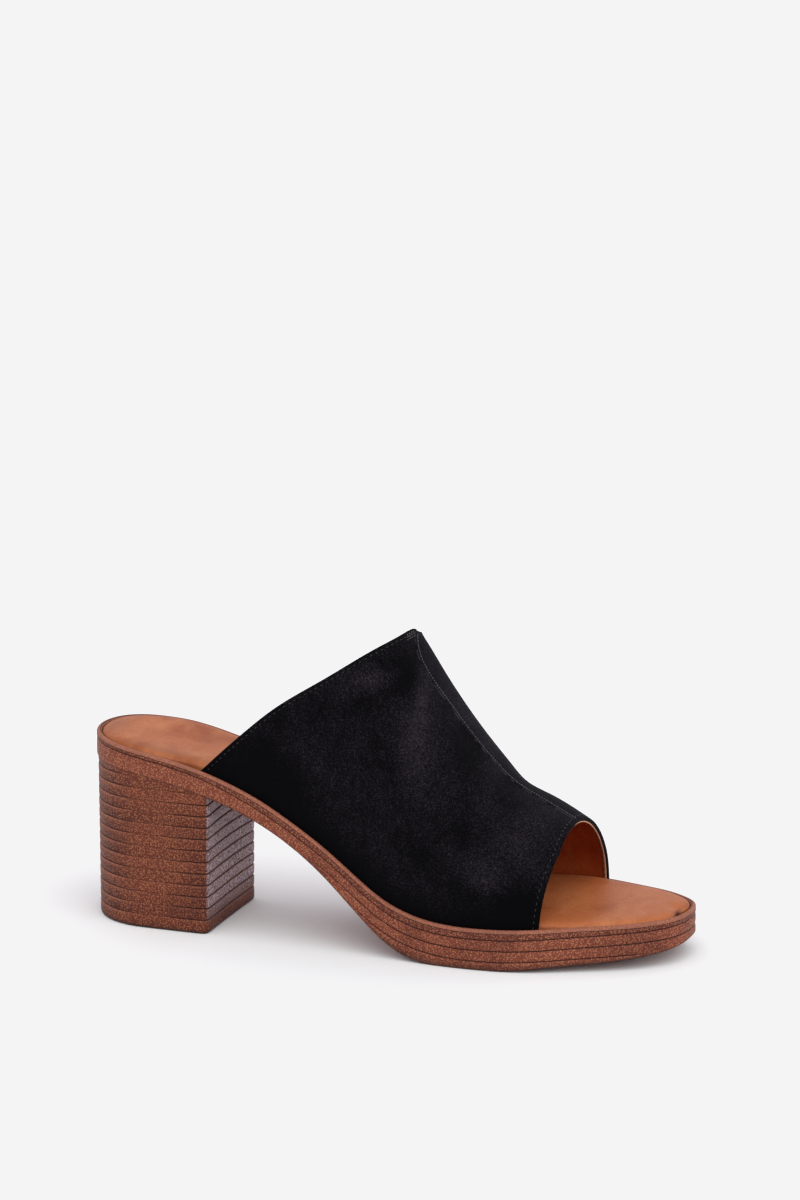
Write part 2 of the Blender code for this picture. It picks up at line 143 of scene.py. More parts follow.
class Graph:
    """One material's nodes: every node comes from its node method."""

    def __init__(self, name: str) -> None:
        """Start a material with a Principled shader.

        Args:
            name: the material's name.
        """
        self.material = bpy.data.materials.new(name)
        self.material.use_nodes = True
        self.tree = self.material.node_tree
        self.shader = next(n for n in self.tree.nodes if n.type == "BSDF_PRINCIPLED")
        self.place = self.node("ShaderNodeTexCoord", {}, {}, "Object")

    def _put(self, socket: bpy.types.NodeSocket, value: Value | float | Colour) -> None:
        """Link a value into a socket, or set the socket to a constant.

        Args:
            socket: the input socket.
            value: what goes in.
        """
        if isinstance(value, Value):
            self.tree.links.new(value.socket, socket)
        elif socket.type == "RGBA":
            socket.default_value = (*value, 1.0)
        else:
            socket.default_value = value

    def node(self, kind: str, settings: dict, sockets: dict, output: str | int = 0) -> Value:
        """Add a node.

        Args:
            kind: the node's type.
            settings: its own settings, set first.
            sockets: values or links of its input sockets, by name or number.
            output: the output to return, by name or number.

        Returns:
            The chosen output.
        """
        made = self.tree.nodes.new(kind)
        for name, value in settings.items():
            setattr(made, name, value)
        for name, value in sockets.items():
            self._put(made.inputs[name], value)
        return Value(self, made.outputs[output])

    def attribute(self, name: str) -> Value:
        """Give a number stored on the mesh's points."""
        return self.node("ShaderNodeAttribute", {"attribute_name": name}, {}, "Fac")

    def noise(
        self,
        per_metre: float,
        detail: float = 2.0,
        roughness: float = 0.5,
        stretch: Triple = (1.0, 1.0, 1.0),
        shift: float = 0.0,
    ) -> Value:
        """Add a noise on the object's place.

        Args:
            per_metre: how many spots there are to a metre.
            detail: octaves of finer noise.
            roughness: strength of the finer noise.
            stretch: scale along each axis.
            shift: what makes one noise unlike another.

        Returns:
            The noise, about 0.5 on average.
        """
        moved = {"Vector": self.place, "Scale": stretch, "Location": (shift, shift, shift)}
        spot = self.node("ShaderNodeMapping", {}, moved)
        sockets = {"Vector": spot, "Scale": per_metre, "Detail": detail, "Roughness": roughness}
        return self.node("ShaderNodeTexNoise", {}, sockets, "Fac")

    def cells(self, per_metre: float, feature: str) -> Value:
        """Add a pattern of cells on the object's place.

        Args:
            per_metre: how many cells there are to a metre.
            feature: the Voronoi feature.

        Returns:
            The distance that the feature gives.
        """
        sockets = {"Vector": self.place, "Scale": per_metre}
        return self.node("ShaderNodeTexVoronoi", {"feature": feature}, sockets, "Distance")

    def mix(self, share: Value | float, first: Value | Colour, second: Value | Colour) -> Value:
        """Mix two colours.

        Args:
            share: how much of the second there is.
            first: the colour at 0.
            second: the colour at 1.

        Returns:
            The mixed colour.
        """
        # A Mix node's colour inputs are its sockets 6 and 7, and its colour output is number 2.
        return self.node("ShaderNodeMix", {"data_type": "RGBA"}, {0: share, 6: first, 7: second}, 2)

    def bump(self, height: Value, depth: float, under: Value | None = None) -> Value:
        """Turn a height into a normal.

        Args:
            height: the height, 0 to 1.
            depth: what 1 stands for, in metres.
            under: the normal of a coarser bump below this one.

        Returns:
            The bumped normal.
        """
        sockets = {"Height": height, "Distance": depth, "Strength": 1.0}
        if under is not None:
            sockets["Normal"] = under
        return self.node("ShaderNodeBump", {}, sockets, "Normal")

    def finish(
        self, colour: Value, roughness: Value | float, normal: Value, constants: dict[str, float | Colour]
    ) -> Material:
        """Wire up the shader.

        Args:
            colour: the base colour.
            roughness: the roughness.
            normal: the normal.
            constants: what is the same all over, set on the shader's own sockets.

        Returns:
            The material.
        """
        varying = {"Base Color": colour, "Roughness": roughness, "Normal": normal}
        for name, value in {**varying, **constants}.items():
            self._put(self.shader.inputs[name], value)
        return self.material


# ---- Finishes: a scale is a pattern's spots to a metre, and a depth is in metres ----


@dataclass(frozen=True)
class MouldingFinish:
    """Moulded brown sole stuff with a fine pebble grain, with painted shade in its grooves, a painted
    highlight on its lips and a painted reflection on a heel's breast.
    """

    name: str
    body: Colour = (0.132, 0.03, 0.0145)
    deep: Colour = (0.062, 0.012, 0.0065)
    fleck: Colour = (0.52, 0.19, 0.085)
    groove: Colour = (0.016, 0.004, 0.003)
    lip: Colour = (0.38, 0.15, 0.095)
    breast: Colour = (0.47, 0.35, 0.38)
    breast_fleck: Colour = (0.07, 0.034, 0.036)
    tread: Colour = (0.012, 0.005, 0.004)
    grain_scale: float = 1500.0
    patch_scale: float = 40.0
    rib_scale: float = 48.0
    grain_depth: float = 0.16 * MM
    rib_depth: float = 0.35 * MM
    specular: float = 0.2

    def material(self) -> Material:
        """Build the material."""
        g = Graph(self.name)
        grain = g.noise(self.grain_scale, 0.0)
        pebbles = g.cells(self.grain_scale, "F1")
        patches = g.noise(self.patch_scale, 2.0, 0.5, shift=3.1)
        salt = pebbles.step(0.55, 0.12)
        colour = g.mix(patches.step(0.2, 0.6), self.deep, self.body)
        # The stored tone darkens each layer by its own tone, and with painted shade at the heel's foot and
        # above its rear grooves.
        colour = g.mix(g.attribute("tone"), colour, self.deep)
        colour = g.mix(grain.step(0.62, 0.36) * 0.24, colour, self.deep)
        colour = g.mix(salt * (0.42 + 0.2 * patches.step(0.34, 0.62)), colour, self.fleck)
        # Painted reflection: the face that looks towards the toe takes a paler mauve-grey, as where it
        # reflects the floor and sky.
        breast = g.attribute("breast")
        breast_reflection = g.mix(grain.step(0.42, 0.6) * 0.8, self.breast, self.breast_fleck)
        colour = g.mix(breast * (0.75 + 0.25 * patches), colour, breast_reflection)
        # Painted highlight: the lips are paler, as where light catches them.
        colour = g.mix(g.attribute("lip") * (1.0 - 0.9 * breast) * (0.2 + 0.5 * grain), colour, self.lip)
        # Painted shade: the grooves are darkened by how hollow the solid is there.
        colour = g.mix(g.attribute("hollow").step(0.14, 0.55) * 0.94, colour, self.groove)
        colour = g.mix(g.attribute("tread"), colour, self.tread)
        roughness = 0.52 + 0.2 * grain - 0.1 * patches
        waves = {"Vector": g.place, "Scale": self.rib_scale}
        ribs = g.node("ShaderNodeTexWave", {"bands_direction": "X"}, waves, "Fac")
        normal = g.bump(ribs * g.attribute("under"), self.rib_depth)
        normal = g.bump(0.6 * grain + 0.6 * pebbles, self.grain_depth, normal)
        return g.finish(colour, roughness, normal, {"Specular IOR Level": self.specular})


@dataclass(frozen=True)
class LeatherFinish:
    """Smooth tan leather, mottled where it was rubbed, with fine pores, a paler cut edge and painted shade
    where a piece stores it.
    """

    name: str
    body: Colour = (0.4, 0.118, 0.038)
    dark: Colour = (0.27, 0.062, 0.016)
    pale: Colour = (0.5, 0.18, 0.07)
    cut: Colour = (0.6, 0.3, 0.17)
    painted_shade: Colour = (0.06, 0.012, 0.005)
    cloud_scale: float = 30.0
    rub_scale: float = 85.0
    rub_stretch: Triple = (1.0, 0.4, 0.6)
    pore_scale: float = 1500.0
    crease_scale: float = 420.0
    grain_scale: float = 1100.0
    grain_depth: float = 0.04 * MM
    roughness: float = 0.46
    specular: float = 0.2

    def material(self) -> Material:
        """Build the material."""
        g = Graph(self.name)
        clouds = g.noise(self.cloud_scale, 4.0, 0.6)
        rubbed = g.noise(self.rub_scale, 4.0, 0.6, self.rub_stretch, 2.3)
        pores = g.cells(self.pore_scale, "F1")
        creases = g.cells(self.crease_scale, "DISTANCE_TO_EDGE")
        fine = g.noise(self.grain_scale, 3.0, 0.65)
        colour = g.mix(clouds.step(0.3, 0.58), self.dark, self.body)
        colour = g.mix(rubbed.step(0.44, 0.68) * 0.6, colour, self.pale)
        colour = g.mix(fine.step(0.48, 0.7) * 0.4, colour, self.dark)
        # Painted shade, stored at the footbed's gaps and rims and along the lining's stitch rows.
        colour = g.mix(g.attribute("painted_shade"), colour, self.painted_shade)
        colour = g.mix(g.attribute("cut"), colour, self.cut)
        roughness = self.roughness + 0.16 * fine - 0.1 * clouds
        normal = g.bump(creases.step(0.0, 0.12), self.grain_depth)
        normal = g.bump(0.5 * pores + 0.6 * fine, self.grain_depth, normal)
        return g.finish(colour, roughness, normal, {"Specular IOR Level": self.specular})


@dataclass(frozen=True)
class SuedeFinish:
    """Black napped suede: a short pile that is darker or paler with the way it was brushed, and with the
    painted shade and highlights that its pieces store.
    """

    name: str
    dark: Colour = (0.0012, 0.001, 0.0014)
    body: Colour = (0.0058, 0.0048, 0.0064)
    pale: Colour = (0.034, 0.028, 0.036)
    raw_and_highlight: Colour = (0.04, 0.035, 0.041)
    sheen: Colour = (0.7, 0.64, 0.78)
    cloud_scale: float = 34.0
    stroke_scale: float = 120.0
    stroke_stretch: Triple = (1.0, 1.0, 0.45)
    wisp_scale: float = 420.0
    wisp_stretch: Triple = (1.0, 1.0, 0.6)
    pile_scale: float = 1700.0
    tuft_scale: float = 1300.0
    pile_depth: float = 0.12 * MM
    brush_level: float = 1.44

    def material(self) -> Material:
        """Build the material."""
        g = Graph(self.name)
        clouds = g.noise(self.cloud_scale, 3.0, 0.6)
        strokes = g.noise(self.stroke_scale, 3.0, 0.65, self.stroke_stretch, 4.4)
        wisps = g.noise(self.wisp_scale, 2.0, 0.6, self.wisp_stretch, 7.9)
        pile = g.noise(self.pile_scale, 1.0, 0.6)
        tufts = g.noise(self.tuft_scale, 2.0, 0.6, shift=1.7)
        # The stored value holds the brushed patches, and the painted shade and highlights of the foot and
        # the folds.
        brushed = g.attribute("nap_and_painted_light") + 0.9 * clouds + 0.7 * strokes + 0.7 * wisps - self.brush_level
        colour = g.mix(brushed.step(-0.55, 0.12), self.dark, self.body)
        colour = g.mix(brushed.step(-0.05, 1.0) * 0.62, colour, self.pale)
        colour = g.mix(tufts.step(0.56, 0.42) * 0.7, colour, self.dark)
        colour = g.mix(pile.step(0.5, 0.66) * brushed.step(-1.0, 0.4) * 0.54, colour, self.pale)
        # The lap's edge is paler: partly the raw cut suede and partly a painted highlight.
        colour = g.mix(g.attribute("raw_and_highlight") * wisps.step(0.42, 0.58), colour, self.raw_and_highlight)
        normal = g.bump(pile, self.pile_depth, g.bump(tufts, self.pile_depth))
        constants = {
            "Specular IOR Level": 0.04,
            "Sheen Weight": 0.03,
            "Sheen Roughness": 0.5,
            "Sheen Tint": self.sheen,
        }
        return g.finish(colour, 0.86 + 0.1 * tufts, normal, constants)


@dataclass(frozen=True)
class ThreadFinish:
    """Twisted sewing thread, with painted glints on some of its stitches."""

    name: str
    body: Colour = (0.008, 0.007, 0.0085)
    pale: Colour = (0.062, 0.056, 0.063)
    twist_scale: float = 3200.0
    glint_scale: float = 260.0
    twist_depth: float = 0.08 * MM
    roughness: float = 0.5
    sheen: float = 0.2

    def material(self) -> Material:
        """Build the material."""
        g = Graph(self.name)
        twist = g.noise(self.twist_scale, 2.0, 0.6)
        glints = g.noise(self.glint_scale, 2.0, 0.6, shift=5.2)
        # Painted glints: the pale colour on some stitches stands in for light caught by the thread.
        colour = g.mix((0.35 + 0.65 * twist) * glints.step(0.5, 0.62), self.body, self.pale)
        normal = g.bump(twist, self.twist_depth)
        return g.finish(colour, self.roughness, normal, {"Sheen Weight": self.sheen})


@dataclass(frozen=True)
class FloorFinish:
    """A plain pale floor, all but white and even."""

    name: str
    body: Colour = (0.9, 0.9, 0.905)
    deep: Colour = (0.89, 0.89, 0.895)
    cloud_scale: float = 2.0
    grain_scale: float = 400.0
    grain_depth: float = 0.002 * MM
    roughness: float = 0.8
    specular: float = 0.05

    def material(self) -> Material:
        """Build the material."""
        g = Graph(self.name)
        colour = g.mix(g.noise(self.cloud_scale), self.deep, self.body)
        normal = g.bump(g.noise(self.grain_scale), self.grain_depth)
        return g.finish(colour, self.roughness, normal, {"Specular IOR Level": self.specular})


# ---- Reading the frame ----


def rows_of(values: bpy.types.bpy_prop_collection, name: str, width: int, kind: type) -> Rows:
    """Read a property of every item of a mesh's collection.

    Args:
        values: the collection, such as a mesh's vertices.
        name: the property.
        width: how many numbers it has.
        kind: their type.

    Returns:
        A row for each item.
    """
    found = np.empty(len(values) * width, kind)
    values.foreach_get(name, found)
    return found.reshape(-1, width)


def unit(rows: Rows) -> Rows:
    """Scale each row to length 1."""
    return rows / np.maximum(np.linalg.norm(rows, axis=-1, keepdims=True), 1e-12)


def ramp(values: Rows, start: float, end: float) -> Rows:
    """Rise evenly from 0 at the start to 1 at the end, which may be the lesser of the two."""
    return np.clip((values - start) / (end - start), 0, 1)


def bell(far: Rows) -> Rows:
    """Fall softly from 1, where far is 0, past a third, where it is 1."""
    return np.exp(-far * far)


def edges_of(triangle: Sequence[int]) -> list[frozenset[int]]:
    """Give a triangle's three edges."""
    a, b, c = triangle
    return [frozenset((a, b)), frozenset((b, c)), frozenset((c, a))]


class Skin:
    """A frame node's merged points and triangles, from which ordered lines of points are read."""

    MERGED = 0.01 * MM
    LEVEL = 0.02 * MM

    def __init__(self, node: Piece) -> None:
        """Merge the node's points.

        Args:
            node: the frame's object, which is left alone.
        """
        loose = rows_of(node.data.vertices, "co", 3, np.float32).astype(float)
        spots = np.round(loose / self.MERGED).astype(int)
        _, first, index = np.unique(spots, axis=0, return_index=True, return_inverse=True)
        corners = rows_of(node.data.loops, "vertex_index", 1, np.int32).ravel()
        self.points = loose[first]
        self.triangles = index.ravel()[corners].reshape(-1, 3)
        a, b, c = (self.points[self.triangles[:, i]] for i in range(3))
        self.centres = (a + b + c) / 3
        self.normals = unit(np.cross(b - a, c - a))

    def flat_part(self, seed: int, degrees: float) -> list[int]:
        """Spread from a triangle over every edge that turns less than an angle.

        Args:
            seed: the first triangle.
            degrees: the angle.

        Returns:
            The triangles reached.
        """
        beside = defaultdict(list)
        for number, triangle in enumerate(self.triangles):
            for edge in edges_of(triangle):
                beside[edge].append(number)
        limit = math.cos(math.radians(degrees))
        reached, waiting = {seed}, [seed]
        while waiting:
            here = waiting.pop()
            for edge in edges_of(self.triangles[here]):
                for other in beside[edge]:
                    if other not in reached and self.normals[here] @ self.normals[other] > limit:
                        reached.add(other)
                        waiting.append(other)
        return sorted(reached)

    def lines(self, triangles: Iterable[int], first: Iterable[int]) -> Rows:
        """Read triangles as lines of points, each line beside the one before.

        Args:
            triangles: the triangles, which join only points of one line or of two next to each other.
            first: the points of the first line.

        Returns:
            The lines' points, as an array of line, point and coordinate. An open line starts at its
            end with the least x, and a closed one at its least x and towards -y.
        """
        faces = [tuple(int(p) for p in self.triangles[t]) for t in triangles]
        links = defaultdict(set)
        for a, b, c in faces:
            links[a] |= {b, c}
            links[b] |= {a, c}
            links[c] |= {a, b}
        lines = [set(int(p) for p in first)]
        level = dict.fromkeys(lines[0], 0)
        while lines[-1]:
            lines.append({q for p in lines[-1] for q in links[p]} - level.keys())
            level.update(dict.fromkeys(lines[-1], len(lines) - 1))
        beside = defaultdict(set)
        for a, b, c in faces:
            for p, q, other in ((a, b, c), (b, c, a), (c, a, b)):
                if level[p] == level[q] != level[other]:
                    beside[p].add(q)
                    beside[q].add(p)
        return np.array([self.points[self._walk(line, beside)] for line in lines[:-1]])

    def _walk(self, line: set[int], beside: dict[int, set[int]]) -> list[int]:
        """Put one line's points in order.

        Args:
            line: the points.
            beside: for each point, those next to it on its line.

        Returns:
            The points in order.
        """
        ends = [p for p in line if len(beside[p]) == 1]
        walk = [min(ends or line, key=lambda p: self.points[p][0])]
        while len(walk) < len(line):
            onward = [p for p in beside[walk[-1]] if p not in walk]
            walk.append(min(onward, key=lambda p: self.points[p][1]))
        return walk

    def underside(self, cap_degrees: float) -> Rows:
        """Give the points of the solid's underside.

        Args:
            cap_degrees: an angle that the underside doesn't turn by, but its rim does.

        Returns:
            The numbers of the points.
        """
        cap = self.flat_part(int(self.centres[:, 2].argmin()), cap_degrees)
        return np.unique(self.triangles[cap])

    def level(self, height: float) -> Rows:
        """Give the points at a height, in order round the solid from its rear to -y."""
        points = self.points[np.abs(self.points[:, 2] - height) < self.LEVEL]
        middle = (self.points.min(axis=0) + self.points.max(axis=0)) / 2
        rear = points[points[:, 0].argmin()]
        turn = np.arctan2(rear[1] - points[:, 1], middle[0] - points[:, 0])
        return points[np.argsort(np.round(turn, 6) % (2 * math.pi))]


# ---- Mesh tools ----


def linked(name: str, data: bpy.types.ID) -> Piece:
    """Put a new object with this data into the scene."""
    made = bpy.data.objects.new(name, data)
    bpy.context.scene.collection.objects.link(made)
    return made


def take(piece: Piece) -> None:
    """Select one piece and nothing else, and make it active."""
    bpy.ops.object.select_all(action="DESELECT")
    piece.select_set(True)
    bpy.context.view_layer.objects.active = piece


def points_of(piece: Piece) -> Rows:
    """Give a piece's points as rows of x, y and z."""
    return rows_of(piece.data.vertices, "co", 3, np.float32).astype(float)


def normals_of(piece: Piece) -> Rows:
    """Give the normals at a piece's points as rows of x, y and z."""
    return rows_of(piece.data.vertices, "normal", 3, np.float32).astype(float)


def place_points(piece: Piece, points: Rows) -> None:
    """Put a piece's points where the rows say."""
    piece.data.vertices.foreach_set("co", points.astype(np.float32).ravel())
    piece.data.update()


def store(piece: Piece, name: str, values: Rows) -> None:
    """Store a number on each of a piece's points, for its material to read."""
    attribute = piece.data.attributes.new(name, "FLOAT", "POINT")
    attribute.data.foreach_set("value", values.astype(np.float32).ravel())


def apply(piece: Piece, kind: str, **settings: object) -> None:
    """Add a modifier to a piece and apply it.

    Args:
        piece: the object.
        kind: the modifier's type.
        settings: its settings.
    """
    take(piece)
    modifier = piece.modifiers.new(kind.title(), kind)
    for name, value in settings.items():
        setattr(modifier, name, value)
    bpy.ops.object.modifier_apply(modifier=modifier.name)


def refine(piece: Piece, levels: int) -> None:
    """Round a piece off by subdividing it, keeping the corners of an open sheet."""
    apply(piece, "SUBSURF", levels=levels, render_levels=levels, boundary_smooth="PRESERVE_CORNERS")


def smooth_shade(piece: Piece, degrees: float) -> None:
    """Shade a piece smooth but for edges sharper than an angle."""
    take(piece)
    bpy.ops.object.shade_smooth_by_angle(angle=math.radians(degrees))


def distance_to(points: Rows, start: Sequence[float], end: Sequence[float]) -> Rows:
    """Give each point's distance from a straight stretch.

    Args:
        points: rows of coordinates.
        start: the stretch's first end.
        end: its other end.

    Returns:
        The distances.
    """
    a, way = np.array(start), np.array(end) - np.array(start)
    share = np.clip((points - a) @ way / (way @ way), 0, 1)
    return np.linalg.norm(points - a - share[:, None] * way, axis=1)


def grid_sheet(name: str, lines: Rows) -> Piece:
    """Make an open sheet through lines of points.

    Args:
        name: the sheet's name.
        lines: an array of line, point and coordinate.

    Returns:
        The sheet, whose UV map runs along the lines and across them.
    """
    across, along = lines.shape[:2]
    bpy.ops.object.select_all(action="DESELECT")
    bpy.ops.mesh.primitive_grid_add(x_subdivisions=along - 1, y_subdivisions=across - 1, size=1.0)
    sheet = bpy.context.object
    sheet.name = sheet.data.name = name
    place_points(sheet, lines.reshape(-1, 3))
    return sheet


def cover(points: list[list[float]], start: int, count: int, columns: int) -> list[tuple[int, ...]]:
    """Cover one end of a loft, with a grid of quads or with a single face.

    Args:
        points: the loft's points, which the grid's own are added to.
        start: the number of the first point of the ring at that end.
        count: how many points a ring has.
        columns: how many lines of points the grid has between its two sides, or 0 for a single face.

    Returns:
        The faces, each running round as the ring does.
    """
    if not columns:
        return [tuple(range(start, start + count))]
    rows = []
    for i in range(1, (count + 1) // 2):
        left, right = start + i, start + count - i
        row = [left]
        for share in np.linspace(0, 1, columns + 2)[1:-1] if right - left > 1 else ():
            row.append(len(points))
            points.append([a * (1 - share) + b * share for a, b in zip(points[left], points[right])])
        rows.append([*row, right])
    faces = [(start, a, b) for a, b in zip(rows[0], rows[0][1:])]
    for row, onward in zip(rows, rows[1:]):
        if len(onward) < len(row):
            faces.append((row[0], *onward, *row[:0:-1]))
        else:
            faces += list(zip(row, onward, onward[1:], row[1:]))
    if count % 2 == 0:
        faces += [(start + count // 2, b, a) for a, b in zip(rows[-1], rows[-1][1:])]
    return faces


def loft(name: str, rings: Rows, creases: Rows, columns: int = 0) -> Piece:
    """Make a closed solid of quads through rings of points, with a cover over each end.

    Args:
        name: the solid's name.
        rings: an array of ring, point and coordinate, from the foot up. Point 0 is at the rear, and
            points that count the same from either side of it lie opposite each other.
        creases: how sharp each ring's edges stay, 0 to 1.
        columns: how many lines of points each cover has between its two sides, or 0 for a single face.

    Returns:
        The solid.
    """
    count = rings.shape[1]
    last = (len(rings) - 1) * count
    points = rings.reshape(-1, 3).tolist()
    faces = []
    for low in range(0, last, count):
        for i in range(count):
            j = (i + 1) % count
            faces.append((low + i, low + j, low + count + j, low + count + i))
    for start, outward in ((0, -1), (last, 1)):
        faces += [face[::outward] for face in cover(points, start, count, columns)]
    mesh = bpy.data.meshes.new(name)
    mesh.from_pydata(points, [], faces)
    # Points past the last ring belong to the covers, whose edges stay soft.
    ring = np.minimum(rows_of(mesh.edges, "vertices", 2, np.int32) // count, len(rings))
    sharp = np.append(creases, 0.0)[ring[:, 0]]
    values = np.where(ring[:, 0] == ring[:, 1], sharp, 0.0).astype(np.float32)
    mesh.attributes.new("crease_edge", "FLOAT", "EDGE").data.foreach_set("value", values)
    return linked(name, mesh)


def inward_of(ring: Rows) -> Rows:
    """Give the level inward direction at each point of a ring that runs anticlockwise from above."""
    along = np.roll(ring, -1, axis=0) - np.roll(ring, 1, axis=0)
    return unit(np.stack([-along[:, 1], along[:, 0], 0 * along[:, 0]], axis=1))


def hollowness(rings: Rows, full: float) -> Rows:
    """Say how hollow a solid is at each of its rings' points.

    Args:
        rings: an array of ring, point and coordinate.
        full: the depth of a groove that counts as 1.

    Returns:
        For each ring and point, above 0 in a groove and below 0 on an edge.
    """
    hollow = np.zeros(rings.shape[:2])
    for i in range(1, len(rings) - 1):
        between = (rings[i - 1] + rings[i + 1]) / 2 - rings[i]
        hollow[i] = -(between * inward_of(rings[i])).sum(axis=1) / full
    return hollow


def store_rings(solid: Piece, shape: tuple[int, int], **rings: Rows) -> None:
    """Store numbers on a lofted solid, and mark the edge of its tread and its underside.

    Args:
        solid: the solid, whose points are its rings and then those of its two covers.
        shape: how many rings it has, and how many points each.
        rings: for each name, a number for each ring and point.
    """
    rings["tread"][:2] = TREAD_EDGE
    covers = len(solid.data.vertices) - shape[0] * shape[1]
    for name, values in rings.items():
        store(solid, name, np.append(values.ravel(), np.zeros(covers)))
    under = np.zeros(shape)
    under[0] = 1.0
    ends = np.append(np.ones(covers // 2), np.zeros(covers - covers // 2))
    store(solid, "under", np.append(under.ravel(), ends))


def hand_over(piece: Piece, material: Material, slot: str, *nodes: str) -> None:
    """Give a finished piece its material, its body and the nodes that it stands for.

    Args:
        piece: the finished object.
        material: its finish.
        slot: not used.
        nodes: the frame nodes that it replaces.
    """
    piece.data.materials.clear()
    piece.data.materials.append(material)
    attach(piece, BODY)
    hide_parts(*nodes)
    low, high = points_of(piece).min(axis=0) / MM, points_of(piece).max(axis=0) / MM
    log.info("%s: %d faces, %s to %s mm", piece.name, len(piece.data.polygons), low.round(1), high.round(1))


# ---- Sole, heel and footbed ----


@dataclass(frozen=True)
class Groove:
    """The section of a groove moulded round an edge."""

    half: float
    depth: float
    run_out: float = 0.13 * MM

    def half_at(self, depth: Rows) -> Rows:
        """Give the half-width of a groove of some depth, which narrows as it runs out."""
        return self.run_out + (self.half - self.run_out) * depth / self.depth


@dataclass
class SoleUnit:
    """The moulded sole, with its lip, its side that looks stacked from layers, and its tread."""

    groove: Groove = Groove(0.38 * MM, 0.5 * MM)
    lip_line: Groove = Groove(0.16 * MM, 0.16 * MM)
    lip_line_drop: float = 1.35 * MM
    grooves: int = 3
    tones: tuple[float, ...] = (0.15, 0.0, 0.0, 0.75)
    layer: float = 4.3 * MM
    least_layer: float = 0.2 * MM
    least_band: float = 0.39 * MM
    tread_tone: float = 0.5
    groove_from: float = 0.5
    support: float = 1.0 * MM
    groove_crease: float = 0.9
    groove_rings: int = 3
    rim_rings: int = 7
    slack: float = 0.03 * MM
    cap_degrees: float = 20.0
    shade_degrees: float = 60.0
    cover_columns: int = 5
    levels: int = 2
    finish: MouldingFinish = MouldingFinish(
        "sole_moulding_finish", (0.178, 0.043, 0.022), (0.085, 0.018, 0.01), (0.6, 0.24, 0.12)
    )

    def build(self, node: Piece) -> None:
        """Build the piece.

        Args:
            node: the frame's sole.
        """
        skin = Skin(node)
        foot = self.in_order(skin.points[skin.underside(self.cap_degrees)])
        inward = inward_of(foot)
        nearest = np.linalg.norm(skin.points[:, None, :2] - foot[None, :, :2], axis=2).argmin(axis=1)
        sections = []
        for i, (start, way) in enumerate(zip(foot, inward)):
            column = skin.points[nearest == i]
            insets = (column - start) @ way
            sections.append(self.section(insets - insets.min(), column[:, 2]))
        insets, heights = np.moveaxis(np.array(sections), 0, -1)
        edge = foot - inward * insets[1][:, None]
        rings = np.array([edge + inward * inset[:, None] for inset in insets])
        rings[:, :, 2] = heights
        hollow = hollowness(rings, self.groove.depth)
        creases = np.where(hollow.max(axis=1) > self.groove_from, self.groove_crease, 0.0)
        creases[[0, -1]] = 1.0
        # The underside and the recess are no grooves, though the rings turn there as at a groove.
        hollow[[0, 1, 2, -1, -2, -3]] = 0.0
        rim = len(rings) - self.rim_rings
        # Painted shade: the line under the lip is drawn as dark as a full groove.
        hollow[rim - 1] = 1.0
        tone, lip, tread = (np.zeros(hollow.shape) for _ in range(3))
        for number, darker in enumerate(self.tones):
            layer = 2 + self.groove_rings * number
            tone[layer : layer + 2] = darker
        # Painted highlight: the lip is paler above that line, over the rim.
        lip[rim:-2] = 1.0
        tread[2] = self.tread_tone
        sole = loft("sole_unit", rings, creases, self.cover_columns)
        store_rings(sole, hollow.shape, hollow=hollow, tone=tone, lip=lip, tread=tread)
        refine(sole, self.levels)
        smooth_shade(sole, self.shade_degrees)
        hand_over(sole, self.finish.material(), "sole_moulding", "sole")

    def in_order(self, points: Rows) -> Rows:
        """Order the sole's outline: the lateral side from heel to toe, then the medial side back."""
        ends = points[[points[:, 0].argmin(), points[:, 0].argmax()]]
        chord = np.interp(points[:, 0], ends[:, 0], ends[:, 1])
        lateral = points[points[:, 1] <= chord]
        medial = points[points[:, 1] > chord]
        return np.concatenate([lateral[lateral[:, 0].argsort()], medial[medial[:, 0].argsort()[::-1]]])

    def section(self, insets: Rows, heights: Rows) -> tuple[Rows, Rows]:
        """Read the sole's section at one place of its outline, and add what supports its edges.

        Args:
            insets: how far in each point of the frame lies there.
            heights: how high it lies.

        Returns:
            The section's insets and heights, from the underside up over the lip to the recess.
        """
        bottom, rim = heights.min(), heights.max()
        chamfer = insets[heights.argmin()]
        lip = insets.max()
        shoulder = heights[insets < self.slack].max()
        roundness = rim - shoulder
        side = (insets > self.slack) & (insets < lip / 2)
        side &= (heights > bottom + chamfer) & (heights < shoulder)
        found = sorted(zip(heights[side], insets[side]), reverse=True)
        section = [(chamfer + self.support, bottom), (chamfer, bottom), (0.0, bottom + chamfer)]
        lines = []
        lowest = bottom + chamfer + self.least_layer
        for number in range(self.grooves):
            if number < len(found):
                height, depth = found[number]
            else:
                room = (self.grooves - number) * self.least_band
                height, depth = max(lines[-1][0] - self.layer, lowest + room), 0.0
            lines.append((height, depth))
        for height, depth in reversed(lines):
            half = self.groove.half_at(depth)
            section += [(0.0, height - half), (depth, height), (0.0, height + half)]
        height, half = rim - self.lip_line_drop, self.lip_line.half
        section += [(0.0, height - half), (self.lip_line.depth, height), (0.0, height + half)]
        section += [(0.0, shoulder), (roundness, rim), (lip - roundness, rim)]
        floor = heights[insets > lip - self.slack].min()
        section += [(lip, shoulder), (lip, floor), (lip + self.support, floor)]
        return np.array(section).T


